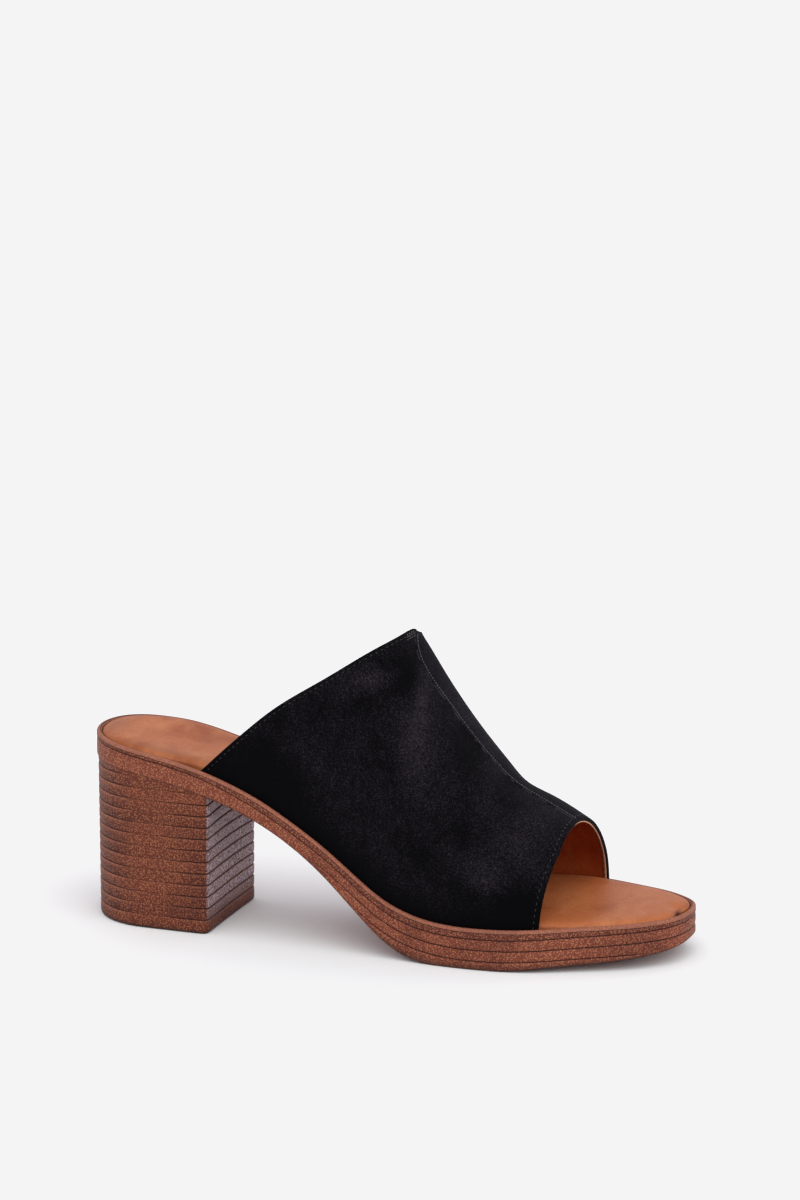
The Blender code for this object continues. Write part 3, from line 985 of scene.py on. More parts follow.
@dataclass
class HeelBlock:
    """The block heel, ringed by grooves that are deep behind and at the breast and faint between."""

    groove: Groove = Groove(0.42 * MM, 0.55 * MM)
    support: float = 1.0 * MM
    groove_crease: float = 0.9
    taper_height: float = 55.0 * MM
    seat_rise: float = 0.8 * MM
    breast_rise: float = 0.3 * MM
    breast_depth: float = 4.0 * MM
    tread_zone: float = 10.0 * MM
    groove_end: float = 2.0 * MM
    groove_rings: int = 4
    shade_degrees: float = 60.0
    levels: int = 2
    sway: float = 0.22 * MM
    sway_end: float = 6.0 * MM
    sway_per_metre: float = 45.0
    lip_width: float = 0.6 * MM
    tread_edge: float = 0.7 * MM
    shade: float = 0.9
    foot_tone: float = 0.6
    tread_tone: float = 0.8
    front_lip: float = 0.3
    rear_end: float = -88.0 * MM
    rear_run: float = 16.0 * MM
    # Where the breast's painted reflection starts and is full, by the normal's x and by height.
    breast_facing: tuple[float, float] = (0.75, 0.95)
    breast_heights: tuple[float, float] = (4.0 * MM, 12.0 * MM)
    tones: tuple[float, ...] = (0.1, 0.5, 0.2, 0.0, 0.35, 0.05, 0.3, 0.1)
    finish: MouldingFinish = MouldingFinish("heel_moulding_finish")

    def build(self, node: Piece) -> None:
        """Build the piece.

        Args:
            node: the frame's heel.
        """
        rings, creases = self.rings(Skin(node))
        hollow = hollowness(rings, self.groove.depth)
        # The foot and the seat are no grooves, though the rings turn there as at a groove.
        hollow[[0, 1, 2, -1, -2]] = 0.0
        tone, lip, tread = (np.zeros(hollow.shape) for _ in range(3))
        rear = ramp(rings[3, :, 0], self.rear_end, self.rear_end - self.rear_run)
        # Painted shade: the heel is darker at its foot.
        tone[2:4] = self.foot_tone
        # A groove's rings are the foot of its lower lip, that lip, its bottom and its upper lip.
        for number, start in enumerate(range(4, len(rings) - 2, self.groove_rings)):
            shown = np.clip(hollow[start + 2], 0, 1) ** 2
            tone[start - 1 : start + 2] += self.tones[number % len(self.tones)]
            # Painted shade darkens each upper lip at the rear, and a painted highlight lightens each lower
            # lip.
            tone[start + 3] += self.shade * shown * rear
            lip[start + 1] = shown * (self.front_lip + (1 - self.front_lip) * rear)
        tread[2] = self.tread_tone
        heel = loft("heel_block", rings, creases)
        store_rings(heel, hollow.shape, hollow=hollow, tone=tone, lip=lip, tread=tread)
        refine(heel, self.levels)
        smooth_shade(heel, self.shade_degrees)
        store(heel, "breast", self.painted_reflection_share(heel))
        hand_over(heel, self.finish.material(), "heel_moulding", "heel")

    def rings(self, skin: Skin) -> tuple[Rows, Rows]:
        """Read the heel's rings from the frame and carry them up to the seat.

        Args:
            skin: the frame's heel.

        Returns:
            The rings from the tread to the seat, and how sharp each one's edges stay.
        """
        heights, counts = np.unique(np.round(skin.points[:, 2], 5), return_counts=True)
        whole = heights[counts == counts[heights < self.tread_zone].max()]
        low, high = skin.level(whole[0]), skin.level(whole[-1])
        chamfer, first, pitch = whole[0], whole[2], whole[5] - whole[2]
        inward = inward_of(low)
        share = ((skin.level(first) - self.at(low, high, first)) * inward).sum(axis=1) / self.groove.depth
        seat = self.seat(skin, self.at(low, high, high[0, 2]) + inward * self.support)
        ahead = ramp(high[:, 0], high[:, 0].max() - self.breast_depth, high[:, 0].max())
        seat += self.seat_rise * (1 - ahead) + self.breast_rise * ahead
        flat = 0 * share
        levels = [(chamfer, flat, 0.0), (chamfer + self.tread_edge, flat, 0.0)]
        for i in range(int((seat.max() - first) / pitch) + 1):
            height = first + pitch * i
            depth = self.groove.depth * share * ramp(seat - height, 0.0, self.groove_end)
            half = self.groove.half_at(depth.max())
            levels += [(height - half - self.lip_width, flat, 0.0), (height - half, flat, 0.0)]
            levels += [(height, depth, self.groove_crease), (height + half, flat, 0.0)]
        levels.append((2 * seat.max(), flat, 1.0))
        foot = low * (1, 1, 0)
        rings = [foot + inward * (chamfer + self.support), foot + inward * chamfer]
        for above, (height, inset, _) in zip(range(len(levels) - 1, -1, -1), levels):
            # A ring that would pass the seat is kept in order under it.
            z = np.minimum(height, seat - self.groove.run_out * above)
            points = self.at(low, high, z)
            spots = [Vector((x, y, height)) * self.sway_per_metre for x, y, _ in points]
            room = ramp(seat - z, 0.0, self.sway_end) * min(height / self.sway_end, 1)
            points[:, 2] += self.sway * room * np.array([noise.noise(spot) for spot in spots])
            rings.append(points + inward * np.reshape(inset, (-1, 1)))
        rings.append(rings[-1] + inward * self.support)
        return np.array(rings), np.array([1.0, 0.0, *(crease for _, _, crease in levels), 1.0])

    def seat(self, skin: Skin, places: Rows) -> Rows:
        """Give the height of the solid's top over each place."""
        tree = BVHTree.FromPolygons(skin.points.tolist(), skin.triangles.tolist())
        above, down = Vector((0, 0, 1)), Vector((0, 0, -1))
        return np.array([tree.ray_cast(Vector(place) + above, down)[0][2] for place in places])

    def at(self, low: Rows, high: Rows, height: float | Rows) -> Rows:
        """Give the heel's outline at a height, on the lines from its foot to its seat."""
        rise = np.minimum(height, self.taper_height) - low[:, 2]
        points = low + (high - low) * (rise / (high[:, 2] - low[:, 2]))[:, None]
        points[:, 2] = height
        return points

    def painted_reflection_share(self, heel: Piece) -> Rows:
        """Say how much each point of the refined heel belongs to its breast's face, which takes a painted
        reflection, 0 to 1.
        """
        facing = ramp(normals_of(heel)[:, 0], *self.breast_facing)
        return facing * ramp(points_of(heel)[:, 2], *self.breast_heights)


@dataclass(frozen=True)
class Patch:
    """A soft-edged patch with its middle and its reach in millimetres.

    It is a hollow as deep as its strength in millimetres, or leather and suede that are toned by it.
    """

    middle: Place
    reach: Place
    strength: float

    def over(self, places: Rows) -> Rows:
        """Give the patch's strength at rows of two coordinates in millimetres."""
        return self.strength * bell(np.linalg.norm((places - self.middle) / self.reach, axis=1))


def toned(places: Rows, patches: Sequence[Patch]) -> Rows:
    """Add up what patches give at rows of two coordinates in millimetres."""
    return sum((patch.over(places) for patch in patches), np.zeros(len(places)))


@dataclass
class Footbed:
    """The padded insole: foam under soft leather, with a rounded edge and worn seats for the foot."""

    support: float = 2.5 * MM
    cap_degrees: float = 30.0
    cover_columns: int = 9
    levels: int = 2
    fill: float = 0.85
    wall_start: float = -78.0 * MM
    wall_end: float = 84.0 * MM
    spread: float = 0.38 * MM
    spread_run: float = 8.0 * MM
    shade_degrees: float = 60.0
    dents: tuple[Patch, ...] = (
        Patch((-93.0, -5.0), (26.0, 19.0), 0.9),
        Patch((50.0, -2.0), (26.0, 30.0), 0.7),
        Patch((2.0, 6.0), (20.0, 12.0), -0.5),
        Patch((116.0, 2.5), (4.5, 4.0), 1.3),
        Patch((108.0, 2.0), (7.0, 6.0), -0.35),
    )
    nick: Patch = Patch((117.8, -0.8), (5.0, 5.2), 2.3)
    painted_shade_patches: tuple[Patch, ...] = (
        # Painted shade: the gap at the toe's nick, and along the rim round the heel.
        Patch((115.7, -0.8), (0.8, 3.8), 0.9),
        Patch((117.0, 8.0), (1.0, 3.0), 0.3),
        Patch((-114.0, -8.0), (6.0, 16.0), 0.3),
        Patch((-84.0, -26.0), (24.0, 4.5), 0.3),
    )
    finish: LeatherFinish = LeatherFinish("footbed_leather_finish")

    def build(self, node: Piece) -> None:
        """Build the piece.

        Args:
            node: the frame's insole.
        """
        skin = Skin(node)
        rings = skin.lines(range(len(skin.triangles)), skin.underside(self.cap_degrees))
        beyond = np.maximum(rings[0][:, 0] - self.wall_end, self.wall_start - rings[0][:, 0])
        spread = self.spread * ramp(beyond, 0.0, self.spread_run)
        rings = np.array([ring - inward_of(ring) * spread[:, None] for ring in rings])
        foot, top = (ring + inward_of(ring) * self.support for ring in rings[[0, -1]])
        rings = np.array([foot, *rings, top])
        creases = np.zeros(len(rings))
        creases[[0, 1]] = 1.0
        footbed = loft("footbed", rings, creases, self.cover_columns)
        refine(footbed, self.levels)
        points, normals = points_of(footbed), normals_of(footbed)
        upper_side = np.clip(normals[:, 2], 0, 1) ** 2
        points[:, 0] -= self.nick.over(points[:, :2] / MM) * MM
        points[:, 2] -= toned(points[:, :2] / MM, self.dents) * MM * upper_side
        place_points(footbed, points)
        store(footbed, "painted_shade", toned(points[:, :2] / MM, self.painted_shade_patches))
        smooth_shade(footbed, self.shade_degrees)
        hand_over(footbed, self.finish.material(), "insole_leather", "insole")


# ---- Upper ----


class Border(IntEnum):
    """The four sides of an upper's sheet, in the order of their mean x."""

    REAR = 0
    FOOT = 1
    SEAM = 2
    MOUTH = 3


@dataclass(frozen=True)
class Fold:
    """A soft crease of the upper, seen from the side: a trough, or a ridge where it is below 0.

    The two ends are x and z, in millimetres over the floor, and so are its width and depth.
    """

    start: Place
    end: Place
    width: float
    depth: float


def borders_of(sheet: Piece) -> list[list[int]]:
    """Walk round an open four-cornered sheet.

    Args:
        sheet: a sheet of quads.

    Returns:
        Its four borders as points in order, from the least mean x to the most.
    """
    loops = rows_of(sheet.data.loops, "edge_index", 1, np.int32).ravel()
    uses = np.bincount(loops, minlength=len(sheet.data.edges))
    corners = rows_of(sheet.data.loops, "vertex_index", 1, np.int32).ravel()
    faces = np.bincount(corners, minlength=len(sheet.data.vertices))
    beside = defaultdict(list)
    for a, b in rows_of(sheet.data.edges, "vertices", 2, np.int32)[uses == 1].tolist():
        beside[a].append(b)
        beside[b].append(a)
    start = next(p for p in beside if faces[p] == 1)
    walk = [start, beside[start][0]]
    while walk[-1] != start:
        walk.append(next(p for p in beside[walk[-1]] if p != walk[-2]))
    turns = [i for i, p in enumerate(walk) if faces[p] == 1]
    borders = [walk[a : b + 1] for a, b in zip(turns, turns[1:])]
    x = points_of(sheet)[:, 0]
    return sorted(borders, key=lambda border: x[border].mean())


def away_from(sheet: Piece, border: list[int]) -> Rows:
    """Give each point's distance from a border."""
    points = points_of(sheet)
    tree = KDTree(len(border))
    for number, point in enumerate(border):
        tree.insert(points[point], number)
    tree.balance()
    return np.array([tree.find(point)[2] for point in points])


def from_open_ends(sheet: Piece) -> Rows:
    """Give each point's distance from the nearer of a sheet's rear and mouth borders."""
    borders = borders_of(sheet)
    return np.minimum(away_from(sheet, borders[Border.REAR]), away_from(sheet, borders[Border.MOUTH]))


@dataclass(frozen=True)
class Row:
    """An even row of stitches beside a border: how far in it runs, its pitch, and how short it stops."""

    inset: float
    pitch: float
    ends: float

    def beside(self, sheet: Piece, side: Border) -> Stitches:
        """Space the stitches along a sheet.

        Args:
            sheet: the open sheet.
            side: the border that the row follows.

        Returns:
            The stitches' middles, the directions along the row, and the sheet's normals there.
        """
        points = points_of(sheet)
        border = borders_of(sheet)[side]
        along = unit(np.gradient(points[border], axis=0))
        rim, inner = set(border), defaultdict(list)
        for a, b in rows_of(sheet.data.edges, "vertices", 2, np.int32).tolist():
            for p, q in ((a, b), (b, a)):
                if p in rim and q not in rim:
                    inner[p].append(q)
        inward = np.zeros((len(border), 3))
        for number, p in enumerate(border[1:-1], 1):
            inward[number] = points[inner[p]].mean(axis=0) - points[p]
        inward[[0, -1]] = inward[[1, -2]]
        inward = unit(inward - (inward * along).sum(axis=1)[:, None] * along)
        tree = BVHTree.FromPolygons(points.tolist(), [list(f.vertices) for f in sheet.data.polygons])
        path = np.array([tree.find_nearest(p)[0] for p in points[border] + inward * self.inset])
        length = np.append(0, np.cumsum(np.linalg.norm(np.diff(path, axis=0), axis=1)))
        count = int((length[-1] - 2 * self.ends) / self.pitch)
        places = np.linspace(self.ends, length[-1] - self.ends, count)
        middles = np.array([np.interp(places, length, path[:, i]) for i in range(3)]).T
        on_sheet, normals = zip(*(tree.find_nearest(p)[:2] for p in middles))
        return np.array(on_sheet), unit(np.gradient(middles, axis=0)), np.array(normals)


@dataclass(frozen=True)
class Stitch:
    """One stitch of thread, arched so that its ends go into the leather."""

    length: float
    radius: float
    arch: float
    sunk: float = 0.0
    segments: int = 6

    def model(self) -> Piece:
        """Model the stitch along X at the origin."""
        bpy.ops.object.select_all(action="DESELECT")
        bpy.ops.mesh.primitive_uv_sphere_add(segments=self.segments, ring_count=self.segments, radius=1.0)
        stitch = bpy.context.object
        points = points_of(stitch)[:, [2, 1, 0]]
        points[:, 0] *= self.length / 2
        points[:, 1:] *= self.radius
        points[:, 2] -= self.sunk + self.arch * (2 * points[:, 0] / self.length) ** 2
        place_points(stitch, points)
        return stitch

    def sew(self, name: str, rows: Sequence[Stitches], finish: ThreadFinish) -> None:
        """Copy the stitch along rows, join the copies and hand them over.

        Args:
            name: the joined piece's name.
            rows: for each row the middles, directions and normals of its stitches.
            finish: the thread's finish.
        """
        stitch = self.model()
        copies = []
        for middle, along, normal in (place for row in rows for place in zip(*row)):
            out = Vector(normal)
            across = out.cross(Vector(along)).normalized()
            turn = Matrix((across.cross(out), across, out)).transposed().to_4x4()
            copy = linked(name, stitch.data.copy())
            copy.data.transform(Matrix.Translation(middle) @ turn)
            copies.append(copy)
        bpy.data.objects.remove(stitch)
        take(copies[0])
        for copy in copies:
            copy.select_set(True)
        bpy.ops.object.join()
        sewn = bpy.context.object
        sewn.name = sewn.data.name = name
        sewn.data.shade_smooth()
        hand_over(sewn, finish.material(), "upper_suede")


@dataclass
class Upper:
    """The mule's upper: two suede panels lapped down the front over one leather lining."""

    sheet_degrees: float = 60.0
    down: float = -0.5
    opposite: float = -0.9
    panel_wall: float = 0.95 * MM
    hem_wall: float = 1.75 * MM
    hem_width: float = 1.2 * MM
    lining_wall: float = 0.8 * MM
    lining_insets: tuple[float, float] = (0.4 * MM, 0.0)
    tongue: float = 1.7 * MM
    tongue_drop: float = 0.12 * MM
    peak_close: float = 0.7
    peak_lift: float = 0.5 * MM
    peak_blunt: float = 0.4
    edge_roll: float = 0.25 * MM
    edge_reach: float = 0.7 * MM
    row_dip: float = 0.14 * MM
    row_reach: float = 0.55 * MM
    # How dark the painted shade along the lining's stitch rows is.
    row_tone: float = 0.75
    raw_width: float = 0.4 * MM
    # How far and how dark painted shade reaches up from the foot, and how strongly folds are painted.
    foot_shade: float = 9.0 * MM
    foot_tone: float = -0.9
    fold_tone: float = 0.55
    seam_calm: float = 5.0 * MM
    panel_levels: int = 3
    lining_levels: int = 2
    cut_width: float = 0.45 * MM
    rim_round: float = 0.28 * MM
    rim_segments: int = 2
    rim_degrees: float = 60.0
    shade_degrees: float = 50.0
    seam_row: Row = Row(1.5 * MM, 2.3 * MM, 1.5 * MM)
    rear_row: Row = Row(1.6 * MM, 2.4 * MM, 2.5 * MM)
    mouth_row: Row = Row(2.2 * MM, 2.4 * MM, 2.5 * MM)
    lining_row: Row = Row(0.95 * MM, 2.4 * MM, 2.5 * MM)
    tack_rows: tuple[Row, ...] = tuple(Row(inset * MM, 1.725 * MM, 1.0 * MM) for inset in (1.1, 2.0, 2.9))
    tack_length: float = 8.0 * MM
    seam_stitch: Stitch = Stitch(1.15 * MM, 0.24 * MM, 0.14 * MM)
    hem_stitch: Stitch = Stitch(1.3 * MM, 0.14 * MM, 0.12 * MM)
    lining_stitch: Stitch = Stitch(1.6 * MM, 0.32 * MM, 0.14 * MM)
    pinhole: Stitch = Stitch(1.25 * MM, 0.5 * MM, 0.0, 0.28 * MM)
    folds: tuple[Fold, ...] = (
        Fold((14.8, 109.5), (18.9, 97.0), 1.5, -0.4),
        Fold((12.8, 107.5), (15.2, 98.0), 2.2, 0.45),
        Fold((21.5, 100.0), (24.0, 88.0), 3.5, 0.35),
        Fold((33.0, 86.5), (37.5, 76.0), 3.2, 0.55),
        Fold((49.5, 72.5), (50.0, 62.0), 2.8, 0.35),
        Fold((44.0, 70.0), (45.5, 58.0), 4.0, -0.3),
        Fold((9.5, 77.0), (15.5, 61.0), 3.6, 0.45),
        Fold((16.5, 80.0), (21.0, 66.0), 5.0, -0.45),
        Fold((31.0, 48.5), (53.0, 32.0), 4.5, -0.45),
        Fold((24.0, 42.0), (44.0, 27.5), 4.5, 0.45),
        Fold((58.0, 50.0), (68.0, 40.0), 4.5, -0.35),
        Fold((-12.0, 100.5), (3.0, 108.5), 3.2, -0.3),
        Fold((-8.0, 95.0), (8.0, 102.5), 3.6, 0.35),
        Fold((-40.0, 76.0), (-28.0, 62.0), 6.0, 0.4),
        Fold((-24.0, 84.0), (-14.0, 66.0), 7.0, -0.35),
    )
    naps: tuple[Patch, ...] = (
        Patch((18.5, 99.0), (4.5, 12.0), 0.7),
        Patch((21.0, 87.0), (7.0, 8.0), 0.45),
        Patch((18.0, 74.0), (15.0, 10.0), 0.35),
        Patch((-0.5, 107.5), (8.5, 3.8), 0.6),
        Patch((64.0, 53.0), (8.0, 8.0), 0.5),
        Patch((46.0, 38.5), (13.0, 7.0), 0.25),
        Patch((60.0, 40.0), (7.0, 9.0), 0.15),
        Patch((7.5, 112.5), (4.5, 3.6), -0.3),
        Patch((12.0, 106.5), (3.6, 6.0), -0.45),
        Patch((35.0, 81.5), (4.5, 7.0), -0.12),
        Patch((33.5, 47.0), (9.0, 6.0), -0.25),
        Patch((61.0, 27.5), (10.0, 5.0), -0.6),
        Patch((-49.0, 72.0), (14.0, 11.0), -0.55),
        Patch((-26.0, 58.0), (18.0, 9.0), -0.3),
    )
    medial_folds: tuple[Fold, ...] = (
        Fold((-20.0, 88.0), (-6.0, 70.0), 5.0, 0.4),
        Fold((8.0, 84.0), (14.0, 62.0), 5.0, 0.45),
        Fold((16.0, 80.0), (22.0, 60.0), 5.0, -0.35),
        Fold((40.0, 58.0), (50.0, 38.0), 5.0, 0.35),
    )
    medial_naps: tuple[Patch, ...] = (
        Patch((28.0, 92.0), (30.0, 18.0), 0.4),
        Patch((10.0, 66.0), (14.0, 12.0), 0.35),
        Patch((48.0, 40.0), (12.0, 10.0), 0.3),
        Patch((-34.0, 70.0), (12.0, 12.0), -0.4),
    )
    suede: SuedeFinish = SuedeFinish("upper_suede_finish")
    leather: LeatherFinish = LeatherFinish(
        "lining_leather_finish", (0.29, 0.042, 0.008), (0.19, 0.022, 0.004), (0.38, 0.075, 0.018),
        roughness=0.5,
    )
    thread: ThreadFinish = ThreadFinish("upper_thread_finish")
    hem_thread: ThreadFinish = ThreadFinish(
        "hem_thread_finish", (0.002, 0.0018, 0.0024), (0.018, 0.016, 0.02)
    )
    # Painted shade: near-black solids stand for the shade inside the needle's holes.
    pinhole_shade: ThreadFinish = ThreadFinish(
        "pinhole_painted_shade", (0.0006, 0.0006, 0.0007), (0.001, 0.001, 0.0012)
    )
    lining_thread: ThreadFinish = ThreadFinish(
        "lining_thread_finish", (0.012, 0.004, 0.003), (0.05, 0.02, 0.012)
    )

    def sheet_lines(self, skin: Skin, seed: int) -> Rows:
        """Read one face of the wall as lines that run from the rear to the toe opening.

        Args:
            skin: the frame's upper.
            seed: a triangle of that face.

        Returns:
            An array of line, point and coordinate, from the lateral foot to the medial foot.
        """
        sheet = skin.flat_part(seed, self.sheet_degrees)
        mine = set(skin.triangles[sheet].ravel().tolist())
        others = sorted(set(range(len(skin.triangles))) - set(sheet))
        under = [t for t in others if skin.normals[t][2] < self.down]
        feet = set(skin.triangles[under].ravel().tolist()) & mine
        middle = skin.points[:, 1].mean()
        return skin.lines(sheet, [p for p in feet if skin.points[p][1] < middle])

    def build(self, node: Piece) -> None:
        """Build the pieces.

        Args:
            node: the frame's upper.
        """
        skin = Skin(node)
        outermost = int(skin.centres[:, 1].argmin())
        outer = self.sheet_lines(skin, outermost)
        facing = skin.normals @ skin.normals[outermost]
        near = np.linalg.norm(skin.centres - skin.centres[outermost], axis=1)
        inner = self.sheet_lines(skin, int(np.where(facing < self.opposite, near, 1.0).argmin()))
        gaps = np.linalg.norm(np.diff(outer, axis=0), axis=2).mean(axis=1)
        lap = int(gaps.argmin())
        away = unit(outer[lap] - outer[lap - 1])
        down = -unit(np.cross(np.gradient(outer[lap], axis=0), away))
        tongue = outer[lap] + away * self.tongue + down * self.tongue_drop
        # The seam starts at a peak, which is blunted and closed over the tongue below the lap.
        peak = outer[lap, 0] - outer[lap + 1, 0]
        tongue[0] -= peak * self.peak_blunt
        outer[lap + 1, 0] += peak * self.peak_close - down[0] * self.peak_lift
        lateral = grid_sheet("lateral_panel", np.concatenate([outer[: lap + 1], tongue[None]]))
        medial = grid_sheet("medial_panel", outer[lap + 1 :])
        lining = grid_sheet("lining", self.trimmed(inner))
        for panel in (lateral, medial):
            refine(panel, self.panel_levels)
        self.crease(lateral, self.folds, self.naps)
        self.crease(medial, self.medial_folds, self.medial_naps)
        self.press_lap(medial)
        refine(lining, self.lining_levels)
        self.sew(lateral, medial, lining)
        for panel in (lateral, medial):
            self.thicken_panel(panel)
        self.thicken_lining(lining)
        suede, leather = self.suede.material(), self.leather.material()
        for piece, material in ((lateral, suede), (medial, suede), (lining, leather)):
            hand_over(piece, material, "upper_suede", "upper")

    def trimmed(self, inner: Rows) -> Rows:
        """Draw the lining's lines back from the rear edge and the toe opening."""
        lines = inner.copy()
        for end, onward, inset in zip((0, -1), (1, -2), self.lining_insets):
            lines[:, end] += unit(inner[:, onward] - inner[:, end]) * inset
        return lines

    def crease(self, panel: Piece, folds: Sequence[Fold], naps: Sequence[Patch]) -> None:
        """Press a panel's folds into it and brush its pile, with painted shade towards its foot and in its
        folds' troughs, and a painted highlight on their ridges.

        Args:
            panel: the open sheet.
            folds: its folds, which run out towards the seam so that the lap stays closed.
            naps: its brushed patches.
        """
        borders = borders_of(panel)
        points, normals = points_of(panel), normals_of(panel)
        side = points[:, [0, 2]] / MM
        free = ramp(away_from(panel, borders[Border.SEAM]), 0.0, self.seam_calm)
        # Painted shade darkens the suede towards its foot.
        tone = self.foot_tone * bell(away_from(panel, borders[Border.FOOT]) / self.foot_shade)
        for fold in folds:
            pressed = fold.depth * bell(distance_to(side, fold.start, fold.end) / fold.width)
            points -= normals * (free * pressed)[:, None] * MM
            # Painted shade darkens a fold's trough, and a painted highlight lightens a ridge.
            tone -= self.fold_tone * pressed
        place_points(panel, points)
        store(panel, "nap_and_painted_light", tone + toned(side, naps))

    def press_lap(self, medial: Piece) -> None:
        """Roll the lap's edge down and draw the suede in along the row that is sewn beside it, and paint the
        lap's edge paler.
        """
        points, normals = points_of(medial), normals_of(medial)
        away = away_from(medial, borders_of(medial)[Border.SEAM])
        roll = self.edge_roll * bell(away / self.edge_reach)
        dip = self.row_dip * bell((away - self.seam_row.inset) / self.row_reach)
        place_points(medial, points - normals * (roll + dip)[:, None])
        # Partly the raw cut and partly a painted highlight.
        store(medial, "raw_and_highlight", ramp(away, self.raw_width, 0.0))

    def sew(self, lateral: Piece, medial: Piece, lining: Piece) -> None:
        """Sew the rows of stitches, on the panels and where they come through the lining, with painted shade
        in the needle's holes between the seam's stitches.

        Args:
            lateral: the outer side's open sheet.
            medial: the inner side's open sheet.
            lining: the lining's open sheet.
        """
        seam = self.seam_row.beside(medial, Border.SEAM)
        peak = seam[0][seam[0][:, 2].argmax()]
        tacks = []
        for row in self.tack_rows:
            tack = row.beside(lateral, Border.REAR)
            near = np.linalg.norm(tack[0] - peak, axis=1) < self.tack_length
            tacks.append(tuple(values[near] for values in tack))
        rear = [self.rear_row.beside(panel, Border.REAR) for panel in (lateral, medial)]
        mouth = [self.mouth_row.beside(panel, Border.MOUTH) for panel in (lateral, medial)]
        halfway = tuple((values[:-1] + values[1:]) / 2 for values in seam)
        inside = []
        for side in (Border.REAR, Border.MOUTH):
            middles, along, normals = self.lining_row.beside(lining, side)
            inside.append((middles, along, -normals))
        self.seam_stitch.sew("seam_stitches", [seam, *tacks], self.thread)
        self.hem_stitch.sew("rear_stitches", rear, self.hem_thread)
        self.hem_stitch.sew("mouth_stitches", mouth, self.hem_thread)
        # Near-black solids between the stitches paint the shade in the needle's holes.
        self.pinhole.sew("seam_pinhole_shades", [halfway], self.pinhole_shade)
        self.lining_stitch.sew("lining_stitches", inside, self.lining_thread)

    def thicken_panel(self, panel: Piece) -> None:
        """Give a panel its wall, which is doubled where the suede is turned in at a hem."""
        # The hem's step is as long as half the hem is wide, on either side of the hem's edge.
        hem = ramp(from_open_ends(panel), 1.5 * self.hem_width, 0.5 * self.hem_width)
        share = self.panel_wall / self.hem_wall
        group = panel.vertex_groups.new(name="hem")
        for number, weight in enumerate(share + (1 - share) * hem):
            group.add([number], float(weight), "REPLACE")
        self.wall(panel, self.hem_wall, -1.0, group.name)

    def thicken_lining(self, lining: Piece) -> None:
        """Give the lining its wall, which stands out from its inner face, with its edge cut and painted
        shade along its stitch rows.
        """
        away = from_open_ends(lining)
        store(lining, "cut", ramp(away, self.cut_width, 0.0))
        # Painted shade along the pressed rows of stitches.
        store(lining, "painted_shade", self.row_tone * bell((away - self.lining_row.inset) / self.row_reach))
        self.wall(lining, self.lining_wall, 1.0)

    def wall(self, sheet: Piece, thickness: float, offset: float, group: str = "") -> None:
        """Give an open sheet its wall and round the wall's rim.

        Args:
            sheet: the open sheet.
            thickness: the wall, where it is thickest.
            offset: the side that it grows to, 1 along the sheet's normals and -1 against them.
            group: the vertex group that thins it.
        """
        apply(sheet, "SOLIDIFY", thickness=thickness, offset=offset, vertex_group=group)
        sheet.vertex_groups.clear()
        settings = {"segments": self.rim_segments, "limit_method": "ANGLE", "use_clamp_overlap": True}
        apply(sheet, "BEVEL", width=self.rim_round, angle_limit=math.radians(self.rim_degrees), **settings)
        smooth_shade(sheet, self.shade_degrees)


# ---- Studio ----


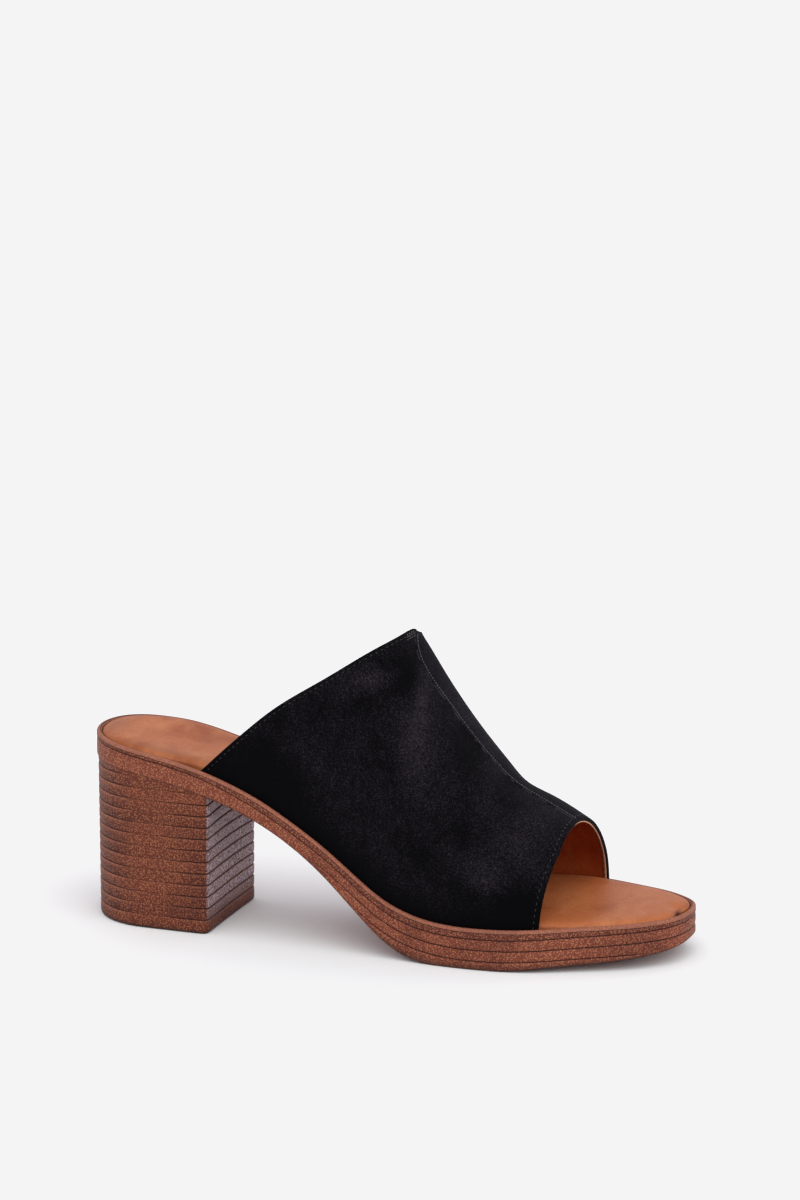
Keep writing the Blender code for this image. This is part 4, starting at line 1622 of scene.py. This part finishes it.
@dataclass
class Studio:
    """A pale floor, soft light from a dome and one broad lamp, and the camera."""

    floor_radius: float = 20.0
    dome: Colour = (0.985, 0.955, 1.0)
    dome_strength: float = 0.885
    lamp: Colour = (0.93, 1.0, 0.955)
    lamp_strength: float = 1.41
    white: float = 0.905
    lamp_spread: float = 70.0
    lamp_from: Triple = (0.5, -0.6, 1.0)
    azimuth: float = 19.25
    elevation: float = 15.2
    distance: float = 1.6
    lens: float = 123.15
    tilt: float = 2.565
    pan: float = -0.12
    aim: Triple = (0.85 * MM, -4.5 * MM, 60.0 * MM)
    floor_finish: FloorFinish = FloorFinish("floor_finish")

    def build(self) -> None:
        """Build the floor, the lights and the camera."""
        bpy.ops.mesh.primitive_circle_add(vertices=64, radius=self.floor_radius, fill_type="NGON")
        floor = bpy.context.object
        floor.name = "floor"
        floor.data.materials.append(self.floor_finish.material())
        world = bpy.data.worlds.new("dome")
        world.use_nodes = True
        background = world.node_tree.nodes["Background"]
        background.inputs["Color"].default_value = (*self.dome, 1.0)
        background.inputs["Strength"].default_value = self.dome_strength
        bpy.context.scene.world = world
        lamp = bpy.data.lights.new("lamp", "SUN")
        lamp.energy = self.lamp_strength
        lamp.color = self.lamp
        lamp.angle = math.radians(self.lamp_spread)
        sun = linked("lamp", lamp)
        sun.rotation_euler = Vector(self.lamp_from).to_track_quat("Z", "Y").to_euler()
        self.set_view()
        self.place_camera()

    def set_view(self) -> None:
        """Show the floor as one pale tone wherever it is fully lit, and every tone below it as it is."""
        view = bpy.context.scene.view_settings
        view.view_transform = "Standard"
        view.use_curve_mapping = True
        curves = view.curve_mapping
        curves.curves[3].points[-1].location = (self.white, self.white)
        for point in curves.curves[3].points:
            point.handle_type = "VECTOR"
        curves.extend = "HORIZONTAL"
        curves.update()

    def place_camera(self) -> None:
        """Place the camera round the shoe, tilted and panned off its aim by a little."""
        azimuth, elevation = math.radians(self.azimuth), math.radians(self.elevation)
        level = Vector((math.sin(azimuth), -math.cos(azimuth), 0.0))
        back = level * math.cos(elevation) + Vector((0.0, 0.0, math.sin(elevation)))
        place = Vector(self.aim) + back * self.distance
        right = Vector((math.cos(azimuth), math.sin(azimuth), 0.0))
        back = Matrix.Rotation(math.radians(self.tilt), 3, right) @ back
        up = back.cross(right)
        pan = Matrix.Rotation(math.radians(self.pan), 3, up)
        turn = Matrix((pan @ right, up, pan @ back)).transposed().to_4x4()
        view = bpy.data.cameras.new("view")
        view.lens = self.lens
        view.clip_end = 4 * self.floor_radius
        camera = linked("view", view)
        camera.matrix_world = Matrix.Translation(place) @ turn
        bpy.context.scene.camera = camera


def main() -> None:
    """Build the shoe round its frame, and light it."""
    logging.basicConfig(level=logging.INFO, format="%(name)s %(message)s")
    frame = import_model()
    nodes = frame["nodes"]
    SoleUnit().build(nodes["sole"])
    HeelBlock().build(nodes["heel"])
    Footbed().build(nodes["insole"])
    Upper().build(nodes["upper"])
    Studio().build()


if __name__ == "__main__":
    main()
